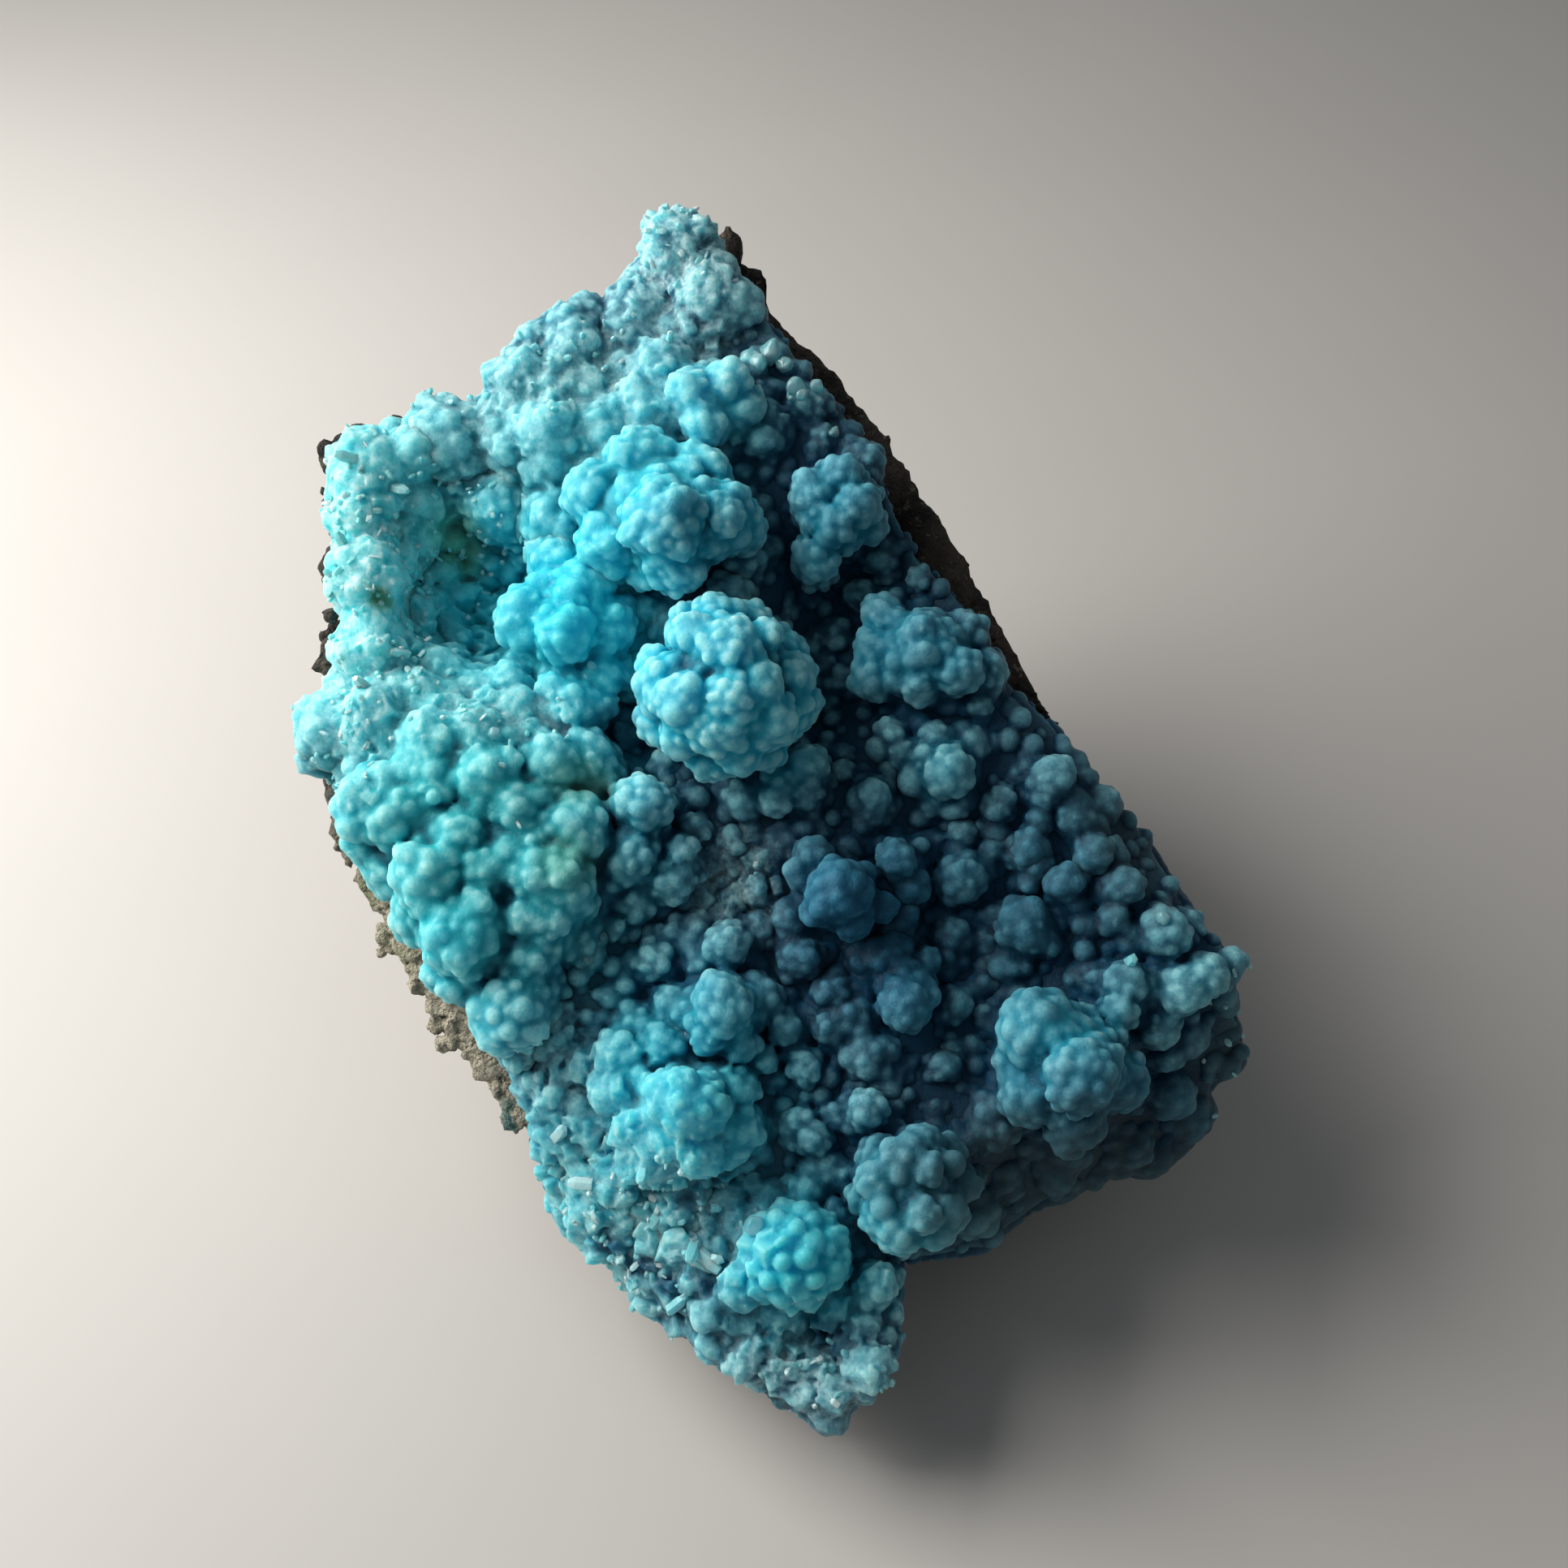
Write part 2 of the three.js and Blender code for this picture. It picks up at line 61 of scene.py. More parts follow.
MM = 0.001
FACE_LEAN = math.radians(31.2)
FACE_MIDDLE = np.array([0.77, -3.22, 23.4])
CRUST_THICKNESS = 2.6
GOLDEN_ANGLE = math.pi * (3 - math.sqrt(5))
WHOLE_FACE = ((-30, 30), (-36, 42))

# How round a cluster's core is, where lobes sit on it, and how square places fade out.
CORE_SHARE = 0.88
LOBE_SEAT = 0.8
LOBE_RISE = 0.1
FADE_POWER = 3

# Grids: how far distances reach, cells round the shape, ease of a skin, points of a speck.
FAR = 2.0
GRID_MARGIN = 3
EASE = 0.01
LEAST_POINTS = 40

# Chance: a seed for each use, and the hash under the noise.
SEEDS = {"balls": 7, "blocks": 29, "crystals": 19, "crumbs": 23, "grains": 61}
HASH_PRIMES = (374761393, 668265263, 1440662683, 974711)
HASH_MIX = 1274126177
HASH_BITS = 0xFFFFFFFF
HASH_HALF = 2147483648.0

# The crust's edge on its face, clockwise from the top tip: across and up.
CRUST_EDGE = [
    (-6.3, 39.2), (-3.9, 36.6), (-1.8, 33.4), (0.9, 29.8), (3.4, 27.3), (4.8, 25), (6.3, 21.4),
    (8.2, 17.4), (11.3, 14.1), (12.7, 11.9), (13.8, 9.8), (16.1, 7.6), (18.6, 3.9), (21.4, 1.3),
    (24.1, -3.8), (26.7, -7), (26.4, -8.9), (27.9, -12.7), (25.6, -14.3), (25.4, -16.8),
    (22.4, -19.3), (19.2, -19.2), (15, -21.4), (11.7, -23.5), (7, -24.1), (6.4, -28.5),
    (4.7, -31.1), (2.7, -33.4), (-1.9, -30.5), (-7.4, -27.6), (-12.3, -23.1), (-14.4, -19.6),
    (-14.7, -15.9), (-16.2, -12.7), (-19.1, -8.7), (-22.3, -4.2), (-25, 0.1), (-26.6, 3.9),
    (-28.5, 4.6), (-28.6, 6.8), (-27.4, 8.8), (-26.4, 12.3), (-27.1, 16.7), (-27.6, 20.8),
    (-27.2, 23.8), (-24.4, 25.3), (-18.1, 27.2), (-16.8, 30), (-14.6, 32.9), (-11.8, 33.6),
    (-11, 32.7), (-8.5, 36), (-7.6, 37.9),
]

# Swells and hollows of the crust's floor: place, half sizes, turn and height.
FLOOR_FORMS = {
    "left mound": ((-18.4, 0.2), (7.8, 9.8), 12, 3.2),
    "glassy pit": ((-18.2, 15.6), (4.4, 5.6), 0, -5.2),
    "left corner": ((-25, 19), (2.6, 6), 0, 1.4),
    "upper swell": ((-12, 24), (6, 6), 0, 1.2),
    "top ridge": ((-5.5, 35), (2.2, 5), 10, 1.2),
    "middle valley": ((2.5, 12), (4, 7.5), -20, -3.6),
    "left valley": ((-9.5, 7.5), (3.4, 2.4), -30, -3),
    "right valley": ((11, -5), (6, 8), 30, -1.6),
    "lower hollow": ((2, -27.5), (2, 2), 0, -2),
}

# Stretches where the floor falls away: start, end (outer side on the left) and slope,
# how far each reaches outwards, and how it fades at its ends.
FALLING_EDGES = {
    "left corner": ((-26.5, 3), (-25, 24.5), 0.5),
    "top left": ((-25, 24), (-7, 36.5), 0.6),
    "upper right": ((-4, 36), (12, 11), 0.5),
    "right rim": ((12.4, 9), (23.5, -6.5), 0.7),
    "skirt": ((24.5, -7.5), (4.6, -21.4), 0.8),
    "broken face": ((0, -30.5), (-12, -16.5), 0.9),
    "lower left": ((-13, -13.5), (-24.5, 4.5), 0.5),
}
FALL_REACH = 7
FALL_ENDS = (-3, 1)

# Clusters of balls by region: core, radius, and lobes (across and up from the core, radius).
# A ball with a number instead of lobes has lumps of that size all over.
CLUSTERS = {
    "middle": {
        "centre ball": ((-3.4, 8.4, 3.6), 5.2, 1.6),
        "east ball": ((8.3, 11.1, 0.2), 3.2, [
            (-2.6, 2.4, 1.2), (-2.9, 0.4, 1.3), (-3.1, -1.3, 1.3), (-0.4, 1.1, 0.8),
            (-0.9, -0.6, 0.7), (-0.6, -1.9, 0.9), (2.2, 1.4, 1.4), (1.8, -1.1, 1.5),
            (3.6, -1.1, 1.4), (1.2, -3, 0.7), (3.1, -3, 0.9), (0, -0.4, 0.7),
        ]),
        "south east ball": ((8.8, 4.7, -0.6), 2.4, [
            (-1.9, 0.8, 1), (0.6, -0.7, 1.4), (0, -2.1, 1), (-0.1, 1.6, 0.9), (1.9, 0.1, 0.7),
            (-1.3, -1, 0.9),
        ]),
        "ball under the centre ball": ((-0.3, 3.6, 0.2), 1.7, [
            (-2.1, -1.1, 1.2), (-0.2, -1.2, 1), (1.4, 0.8, 1.4), (1.2, -0.7, 1.2),
        ]),
        "tall ball": ((3.2, -3.2, 1.2), 2.2, [
            (-1.6, 2.3, 1), (-2.3, 1.3, 0.9), (1.4, 1.4, 0.7), (2.3, -0.7, 0.9),
            (-0.1, 0.1, 1.7), (0.7, -1.5, 1.1), (-1.2, -0.8, 1),
        ]),
        "pair": ((0.5, -5.5, 0.2), 1, [(-0.1, 0.9, 1.1), (0.4, -1.2, 1.3)]),
    },
    "upper": {
        "upper ball": ((-6.8, 18.7, 2.4), 3.8, [
            (-4.4, 1.5, 1.7), (-1.6, 3.4, 2.1), (1.8, 2.7, 1.7), (-2.9, -1.2, 2.1),
            (0.1, -0.9, 2.3), (2.8, -0.3, 2.3), (0.5, -2.8, 1.9), (-1.5, -3.4, 0.9),
            (4.3, -0.7, 1.3),
        ]),
        "top middle ball": ((-4.4, 26.2, 1), 2.8, [
            (-1.1, 0.3, 1.3), (1, 0.8, 1.3), (-0.2, -1.6, 1.4), (2, -0.4, 1.2), (-1.9, -0.8, 1),
        ]),
        "right upper ball": ((3, 20.1, 0.8), 2.7, [
            (-1.4, 0.3, 1.2), (0.3, 1.3, 1.2), (1.2, -0.4, 1.4), (0, -1.6, 1.2),
            (-1.4, -1.2, 0.9), (2.1, -1.4, 0.9), (-1.1, -3.2, 1.4),
        ]),
    },
    "lower": {
        "lower ball": ((7.2, -19.6, 1.8), 3.6, 1.15),
        "bottom ball": ((0.6, -23.2, 1.2), 3.2, 0.68),
        "right lower ball": ((16.1, -12.8, 1.2), 3.5, [
            (-1.8, 1.9, 2.2), (1.1, 2.6, 0.8), (2.9, 3.1, 1), (2.4, 1.7, 0.9), (0.3, -0.4, 1.9),
            (3, -1, 1.4), (3.8, 0.3, 0.6), (-2.3, -1.5, 1.7), (0.2, -3.1, 1.6), (-3.1, 0.3, 1.1),
        ]),
        "dim ball": ((4.3, -15.6, -0.2), 1.8, [(0.4, 0.5, 1.1), (-1.4, 0, 0.9), (1.6, -0.7, 0.8)]),
    },
    "right": {
        "bottom left ball": ((-5.5, -15.6, 1.2), 3.3, [
            (-3.7, 3.4, 1.4), (-4.1, 1.4, 1.4), (-2.8, 2, 1.1), (0.3, 0.7, 1.8),
            (2.7, -0.7, 1.6), (0.8, -2, 1.3), (-2.5, -1.1, 1.6), (-2, -2.9, 1.1),
            (2.5, 1.6, 1.4), (-0.7, -3.1, 0.8),
        ]),
        "row": ((-4, -6.4, 0.2), 1.4, [
            (0.7, 0.4, 1.3), (-1.4, 0.5, 0.9), (-0.7, -0.7, 0.8), (-3.3, -0.5, 1.2),
        ]),
        "dim lumps": ((-9.1, -8.7, -0.6), 1.4, [
            (-0.6, 1.6, 0.7), (0.2, 0.4, 0.7), (-0.7, -0.5, 0.7), (0.6, -0.9, 0.7),
            (-0.3, -1.9, 0.7),
        ]),
        "middle cluster": ((-3.7, -9.9, 0.8), 2.7, [
            (0.3, 0.4, 1.6), (2.3, 0.9, 1.3), (-2.5, 0.5, 1.2), (-3, -1.6, 1.6),
            (1.2, -1.6, 1), (3.7, -0.7, 1), (2.5, -2.5, 0.8), (-0.6, -1.2, 0.9),
        ]),
        "middle right cluster": ((3.7, -10.1, -0.4), 1.9, [
            (-0.9, 1.4, 1.2), (0.7, 1.6, 0.9), (-1.2, -0.5, 1), (0.9, -2.1, 1.3),
            (2.1, -1.8, 0.9), (0.5, -0.8, 0.6),
        ]),
        "far cluster": ((7, -8.3, -0.2), 2, [
            (-0.9, 1.6, 1.4), (1.2, 1.4, 0.9), (-0.1, -1, 1.5), (0.1, -0.8, 0.8),
            (1.1, -0.5, 0.8),
        ]),
        "small one": ((5.2, 2.5, -0.4), 1.6, [
            (-0.1, 0.2, 0.9), (-0.7, -1.3, 0.7), (0.8, 1.1, 0.7), (-1.1, 0, 0.7),
        ]),
        "small two": ((6.7, -1.4, -0.2), 1.4, [
            (-0.2, 0.5, 1.2), (1.4, 1.4, 0.5), (0.6, -1.1, 1.1),
        ]),
    },
    "left": {
        "cyan cluster": ((-12.8, 13.2, 0), 3.2, [
            (-2.2, 0, 1.7), (0.3, -1.3, 1.6), (2.5, -0.1, 1.7), (2, -3.2, 1.4),
            (-0.4, -3.2, 1.2), (-0.5, 3.7, 1.7), (1.1, 1.9, 1.6), (2.3, -0.1, 1),
        ]),
        "kidney": ((-8.3, 0.9, 1.4), 1.7, [(0.1, 1, 1.7), (-0.5, -2, 1.7)]),
        "kidney side": ((-6.4, -1.1, 0.4), 1.7, [
            (1.2, 1.9, 0.9), (0.5, 0.3, 0.9), (-0.2, -1.2, 1.3), (-2.1, -2.4, 1.2),
        ]),
        "mound": ((-18.4, -0.6, -6), 6, [
            (-3.4, 1.8, 1.9), (-1.8, 4.8, 1.6), (0.1, 0.7, 1.6), (1.4, -1.5, 1.7),
            (3.1, -0.5, 1.5), (-4.9, -1.6, 1.5), (0.4, -4.7, 2.5), (-0.5, -7.1, 1.9),
            (5.7, -1.6, 1.3), (4.5, -3.7, 1.8), (4, -6.1, 1.6), (5.8, 1, 1.3), (-2.9, -4, 1.6),
            (5, 4.7, 1.9), (1.3, 3.7, 1.8), (3.1, 2.2, 1.7), (-5.5, 0.6, 1.5),
        ]),
    },
}

# Single small balls on the floor: across, up and radius.
SMALL_BALLS = [
    (1.9, 16.9, 1.4), (10.3, 0.7, 0.8), (10.1, -0.3, 0.7), (12, -0.3, 0.8), (11.5, -1.5, 0.9),
    (10.3, -2, 1.5), (14.1, -0.1, 1.2), (13, 2.8, 0.8), (15.8, 3.8, 1.2), (15.3, 2.8, 0.9),
    (14.8, 1.4, 0.8), (16.7, 1.4, 0.9), (17.9, -0.6, 1.2), (16.4, -2.2, 1.2), (14.3, -2.2, 0.8),
    (19.7, -2.7, 1.2), (19.2, -4.5, 0.9), (14, -4.8, 1.6), (15.2, -5.7, 1), (22, -5.3, 1.4),
    (17.1, -3.6, 0.6), (17.3, -4.8, 0.6), (17.5, -6.2, 0.7), (19.5, -8.3, 1.4),
    (22.6, -8.5, 1.4), (24, -7.8, 1.3), (25.7, -6.9, 0.9), (1.1, -12.7, 1), (1.6, -17, 1),
    (3.4, -19, 0.8), (-2.3, -24.9, 1.4), (5, -25, 1.3), (4.9, -29.5, 1.3),
]
SMALL_BALL_RISE = 0.45

# Broad soft lumps of the upper crust: across, up and radius.
SOFT_LUMPS = [
    (-13.6, 24.6, 2.3), (-17, 21, 2.3), (-9.6, 25.2, 1.5), (-13.2, 19.3, 2), (-12.9, 31, 2),
    (-9, 32.4, 1.9), (-15.6, 28, 2), (-6.4, 29.8, 1.6), (-6.6, 36.6, 2), (-4.6, 33, 1.9),
    (-20.5, 24.5, 2.4), (-24.6, 22, 2.2), (-24.8, 16, 2.2), (-24.4, 11.5, 2.2),
    (-26.6, 6.9, 2.1), (1.4, 26.5, 1.4), (4.6, 23, 1.4),
]
SOFT_LUMP_RISE = -0.25

# What covers the floor between the clusters: place, half sizes, radius of the large and of the
# small balls, and rise. The first place that a ball falls in is its own.
CARPETS = {
    "left mound": ((-18.4, 0.2), (8.5, 10.5), (1.4, 2.4), (0.8, 1.3), -0.2),
    "pit": ((-18.2, 15.6), (4.6, 5.8), (0.8, 1.3), (0.5, 0.8), -0.7),
    "left wall": ((-25.5, 14), (4, 13), (0.9, 1.8), (0.5, 0.9), -0.5),
    "top": ((-6, 35.5), (6, 5), (1, 1.8), (0.6, 1), -0.2),
    "upper left": ((-14, 26), (13, 8), (1.2, 2.2), (0.6, 1.1), -0.1),
    "upper right": ((6, 22), (7, 11), (0.9, 1.4), (0.5, 0.8), -0.3),
    "skirt": ((17, -19.5), (12, 5), (1, 1.8), (0.5, 0.8), -0.5),
    "broken face": ((-9, -22), (7, 6), (0.7, 1.3), (0.4, 0.7), -0.7),
    "rest": ((0, 0), (60, 60), (0.8, 1.4), (0.45, 0.85), -0.25),
}
LARGE_CARPET = 2.6
SMALL_CARPET = 1.25
CARPET_INSIDE = 0.8
CARPET_UNEVEN = (-0.5, 0.4)
SPREAD_JITTER = 0.45
TORN_CARPET = {
    "spacing": 0.95, "radius": (0.45, 0.95), "rise": -0.2, "uneven": (-0.4, 0.4), "inside": 0.6,
    "from": 0.35,
}
EDGE_LUMPS = {"spacing": 0.75, "radius": (0.5, 1.15), "top": 0.2, "bare share": 0.6}

# Where the crust is soft and grown together, and where its skin is torn and sugary.
SOFT_PLACES = [
    ((-18.4, 0.5), (9, 11), 0.25), ((-23.5, 15), (7.5, 12), 0.7), ((-14, 26), (14, 8), 0.35),
    ((-6, 36), (6, 6), 0.5), ((18.5, -20.5), (10.5, 4), 0.55), ((-9, -22), (8, 6), 0.3),
    ((26, -13), (4, 6), 1), ((2, -31), (5, 3), 0.5), ((19, 2), (5, 8), 0.5),
    ((9, -2), (12, 15), 0.3),
]
TORN_PLACES = [
    ((-23, 15), (7, 11), 0.8), ((-14, 28), (12, 6), 0.5), ((-6.5, 36), (4.5, 7), 0.9),
    ((-9.5, -21.5), (8, 7.5), 1.3), ((1.5, -30), (6.5, 5), 1.1), ((-17, 7), (5, 3), 0.6),
    ((-12.5, -13.5), (3, 4.5), 0.8), ((-2.9, -2.2), (2.6, 3), 0.8),
]

# Seams between balls, in millimetres and as a share of the radius, on hard and on soft places.
SEAMS = (0.15, 0.6)
SEAM_SHARES = (0.18, 0.6)

# Balls near the edge are drawn in by steps down the slope of the distance to it.
INSIDE_EDGE = 0.75
DRAW_STEPS = 3
SLOPE_STEP = 0.1

# Lumps on a ball: how closed their coat is, their sizes, how far they are sunk on hard and on
# soft places, what still shows of one, and how many soft balls stay smooth.
LUMPS = {"crowd": 2.7, "least": 6, "jitter": 0.3, "sizes": (0.6, 1.35)}
SUNK = ((0.2, 0.6), (0.7, 0.95))
SHOWING = {"under floor": 0.2, "least": 0.02, "at a time": 400}
SMOOTH_SHARE = 0.6
LARGEST_SMOOTH = 1.3
LUMPY_BALL = {
    "crowd": 2.9, "jitter": 0.25, "sizes": (0.6, 1.2), "sunk": (0.85, 1.05), "inner": 0.95,
}
FIRST_TURN = (0, 6)

# Blocks that stand in for balls on torn places.
LARGEST_BLOCK = 1.1
BLOCK_HALVES = (0.5, 1)
BLOCK_SEAM = {"least": 0.07, "when soft": 0.16}

# Lumps on lumps: the least radius that carries them, and their size by its radius.
LUMP_LEVELS = [
    {"from": 1, "share": (0.27, 0.44), "least": 0.36, "most": 0.75},
    {"from": 0.78, "share": (0.36, 0.52), "least": 0.26, "most": 0.42},
]

# How far under the floor the balls' skins end, and the distances to the edge over which they
# come to reach the plate's thickness lower.
CUT_UNDER_FLOOR = 0.5
CUT_AT_EDGE = (-1.6, -0.8)

# Unevenness of the crust: layers of noise, each a height, a length and a seed.
WARP_LAYERS = [(0.25, 3.5, 11), (0.05, 1.5, 13)]
TORN_WARP = 0.16
TORN_LAYERS = [(1, 1.1, 17), (0.6, 0.5, 23)]
PLATE_LAYERS = [(0.12, 0.8, 31)]

# The plate under the balls: its share of the floor's relief underneath, its lowest and highest
# place, the slant of its top, how far inside the edge it ends and what ball shades it.
CONTACT_SHARE = 0.8
PLATE = {"out": (-17, 5), "slant": 0.85, "inside": 0.35, "least shading ball": 0.9}

# What the crust's material reads: reaches of hollowness, the height of a full rise and the
# depths over which a side shows. Hollowness and rise place the painted shade in pockets and
# low places and the pale tips.
HOLLOW_REACHES = {"crease": 0.5, "fold": 1.3, "pocket": 2.4}
FULL_RISE = 5
SIDE_DEPTHS = (0.4, 2)

# Stretches of the edge where the rock is bare, as start and end along the edge.
BARE_EDGES = [((-14.5, -18), (-27, 3)), ((-3, 36), (14.5, 9))]
BARE_REACH = 2.2

# Crumbs of rock along the bare edges: where they lie, their spacing, sizes and share of blocks.
CRUMBS = {
    "spans": ((-32, 20), (-24, 42)), "spacing": 0.5, "jitter": 0.5, "from": -0.9, "to": 2.6,
    "reach": 4, "deepest": -8, "ray from": 15, "radius": (0.18, 0.6), "sunk": 0.5, "seam": 0.06,
    "blocks": 0.4, "halves": (0.6, 1), "block seam": 0.1,
}
SMOOTH_CRUMBS = {"from across": -8, "to": 1, "radius": (0.15, 0.35)}
CRUMB_LAYERS = [(0.12, 0.5, 71), (0.08, 0.27, 73)]

# Dark bits of rock that show under the crust's left edge: across, up, out and spread.
DARK_BITS = [
    (-27.3, 12.5, -2.6, 1.4), (-26.9, 10, -2.3, 1.1), (-28, 21.3, -2.9, 1),
    (-27.6, 23.9, -1.6, 0.6), (-26.7, 24.8, -1.6, 0.5), (-25.6, 25.4, -1.8, 0.4),
    (-23.8, 26.1, -2.1, 0.5), (-28.5, 7.6, -3.4, 0.8), (-27.6, 17.5, -2.7, 1),
]
DARK_BIT = {"count": 30, "spread": (0.3, 0.6, 0.4), "reach": 4, "radius": (0.25, 0.65)}

# Relief of the rock: layers as for the crust, ledges, and the clamps that keep it off the plate.
ROCK_LAYERS = {
    "swells": (0.5, 5, 41), "knobs": (0.7, 1.8, 43), "grit": (0.22, 0.8, 47),
    "grain": (0.1, 0.45, 53), "ledges": (2.5, 8, 37),
}
ROCK = {
    "raised": 0.2, "ledge": 0.35, "riser": (0.3, 0.7), "drawn in": 0.3, "base fade": (0.05, 1.5),
    "rim depth": 9, "rim": (-0.5, 0.1), "inside": 0.5, "plate depth": 6, "plate rim": (-0.7, -0.4),
    "well inside": 3, "under plate": 0.3, "room": 0.5,
}

# Small blocky crystals strewn over torn places: place, half sizes and share of the skin.
CRYSTAL_PLACES = [
    ((-24, 15), (5, 11), 1), ((-19, 19.5), (4, 2.5), 1), ((-16.5, 7), (5, 3), 0.7),
    ((-9, -22), (6, 5), 1), ((-2.9, -2.2), (2.4, 2.6), 0.4), ((-6, 36.5), (3, 4), 0.8),
    ((-15, 29), (10, 4), 0.45), ((2, -30.5), (4, 3), 0.6), ((26.5, -12), (2.5, 6), 0.5),
    ((-14.8, 0.3), (1.4, 1.4), 0.8), ((-27, 5.5), (2, 2), 0.8),
]
CRYSTALS = {
    "count": 380, "length": (0.25, 0.65), "width": (0.12, 0.26), "lean": 0.75, "crowding": 1.5,
    "most crease": 0.62, "under floor": 2.2,
}
COLUMN = {"sides": 5, "shoulder": 0.72, "bevel": 0.55, "sunk": 0.3, "flatness": (0.45, 1)}
TOP_REACH = 0.4

# Larger crystals: across, up, length and half width.
SHARDS = [
    (-4.4, -23.4, 2.1, 0.5), (-4.9, -22.9, 1.6, 0.4), (-3.9, -23.8, 1.7, 0.45),
    (-4.7, -24, 1.4, 0.4), (-8.2, -18.8, 1.2, 0.35), (-8.8, -19.4, 1, 0.3),
    (-10.6, -21.6, 1.5, 0.45), (-7.4, -21.2, 1.3, 0.4), (-11.6, -19.2, 1.4, 0.4),
    (-9.4, -24, 1.2, 0.35), (-6.2, -26.4, 1.3, 0.4), (19.6, -6.6, 1.6, 0.45),
    (-13, -17, 1.3, 0.4), (-25.5, 22.5, 1.4, 0.4), (-22.6, 20.6, 1.3, 0.4),
    (-26, 17.5, 1.2, 0.35), (-21.9, 11, 1.3, 0.4), (-23.8, 9, 1.2, 0.35),
]
SHARD_LEAN = 0.5

# Clear round grains: across, up and radius.
CLEAR_GRAINS = [
    (-0.5, 29.5, 0.7), (0.3, 29, 0.45), (-1.2, 29, 0.5), (-0.4, 28.7, 0.4), (0.4, 27.4, 0.65),
    (1.1, 27.1, 0.4), (0.1, 26.8, 0.35), (2.2, 27.7, 0.39), (-18.9, 26, 0.39), (-1.9, -21.5, 0.55),
    (-17.8, 7, 0.35), (-16, 5.8, 0.4), (3.4, 24.6, 0.35), (-10.8, 10.2, 0.3), (21.3, -4.2, 0.4),
]
GRAINS = {"rise": 0.1, "cells": 4.3, "seam": 0.1, "uneven": 0.28, "wave": 0.9}

# Where each tint of the crust acts: place, half sizes and strength. Several of them are painted
# glow and painted shade, as marked below.
TINT_PLACES = {
    # painted glow: pale tips kept strong and pocket shade lifted, as if light shone through the
    # crust
    "painted_glow": [
        ((-15, 27), (15, 11), 1), ((-24, 14), (9, 13), 1), ((-6, 36), (6, 6), 0.8),
        ((-12, 13), (6, 6), 1), ((-18, 0), (9, 10), 0.35), ((-9, -20), (8, 9), 0.9),
        ((0.5, -25), (5, 6), 0.6),
    ],
    # painted shade: the right side and the mound's lower right, which face away from the key light,
    # are darkened
    "painted_shade": [
        ((5, -5), (9, 9), 1), ((15, -3), (8, 9), 0.85), ((8, 12), (8, 6), 0.65),
        ((4, 20), (6, 7), 0.65), ((12, -16), (11, 6), 0.7), ((19, -17), (9, 7), 0.9),
        ((-4, 17), (4, 4.5), 0.35), ((-7, -0.5), (4, 4), 0.5), ((-3, -9.5), (5, 4), 0.45),
        ((-13.5, -2), (4.5, 8), 0.2), ((-19, 0), (8, 10), 0.1),
    ],
    "seafoam": [((-19, 1), (9, 11), 0.9), ((-25, 16), (6, 12), 1), ((-14, 24), (9, 6), 0.35)],
    # clearer turquoise, partly a painted glow where light would shine through the crust
    "vivid": [
        ((-12, 13), (5, 6), 1), ((-9, 22), (6, 5), 0.45), ((-17.5, 16), (4, 4.5), 0.8),
        ((-6, -15), (6, 6), 0.75), ((0.5, -23.5), (4.5, 4.5), 0.9),
        ((-17.6, -5.6), (2, 2), 0.8), ((-11, -20), (7, 7), 0.6),
    ],
    # whitish broken crystal; on the left wall and the upper left it is raised further as a painted
    # glow
    "frost": [
        ((-9.5, -21.5), (7.5, 7), 0.6), ((-6, 35.5), (4.5, 7), 0.9),
        ((-25.5, 15), (4.5, 12), 1), ((-15, 27), (11, 5), 0.6), ((1, -30), (6, 4), 0.6),
        ((-2.9, -2.2), (2.6, 3), 0.5), ((-12.5, -14), (3, 4), 0.5), ((-17, 7.5), (5, 2.5), 0.5),
    ],
    "ochre": [
        ((-19.8, 18.6), (1.5, 1.7), 0.6), ((-23.7, 14.2), (0.6, 0.6), 0.8),
        ((-11.5, 3), (2, 1.6), 0.3), ((-12.3, -1.6), (1.6, 1.6), 0.35),
    ],
    # grey-blue skirt; its darkness is partly painted shade
    "grey": [((17, -19.5), (13, 4.5), 1), ((20.5, 2), (3, 8), 0.5), ((27.5, -13), (3.5, 6), 1)],
    # painted shade: dark cracks, gaps and a recess
    "shade": [
        ((-10.1, -22.9), (1.3, 0.8), 1), ((-8.4, -24), (1.3, 0.7), 1),
        ((-6.7, -25.2), (1.1, 0.7), 0.9), ((-5.6, -20.4), (0.7, 0.7), 0.9),
        ((-4.2, -24.8), (0.9, 0.8), 0.8), ((3, -27.7), (1.5, 1.2), 0.8),
        ((-9.6, 7), (1.6, 1.2), 0.7),
    ],
}

# Where each tint of the rock acts, and the heights between which it fades in.
ROCK_TINTS = {
    "pale": [((-21, -11), (9, 15), 1)],
    "moss": [
        ((-25.1, -2.4), (1.6, 1.8), 0.8), ((-22.8, -5.5), (1.6, 1.6), 0.6),
        ((-19, -13), (1.5, 1.5), 0.3),
    ],
    "teal": [((-15.4, -16.5), (2, 2.4), 0.9), ((-27.6, 3.5), (1.2, 1.6), 0.5)],
}
TINTS_FADE = (-17, -5)

# Fixed parts of the materials. Most values of a cloud texture lie in the noise range.
NOISE_RANGE = (0.3, 0.7)
PEBBLE_GRAIN_SCALE = 3.0
MINERAL_IOR = 1.57
SCATTER = (0.35, 0.9, 1.0)
SHEEN_TINT = (0.4, 0.8, 0.95, 1)
# Painted shade: the colour that the side away from the light is multiplied by.
PAINTED_SHADE_TINT = (0.06, 0.19, 0.29, 1)
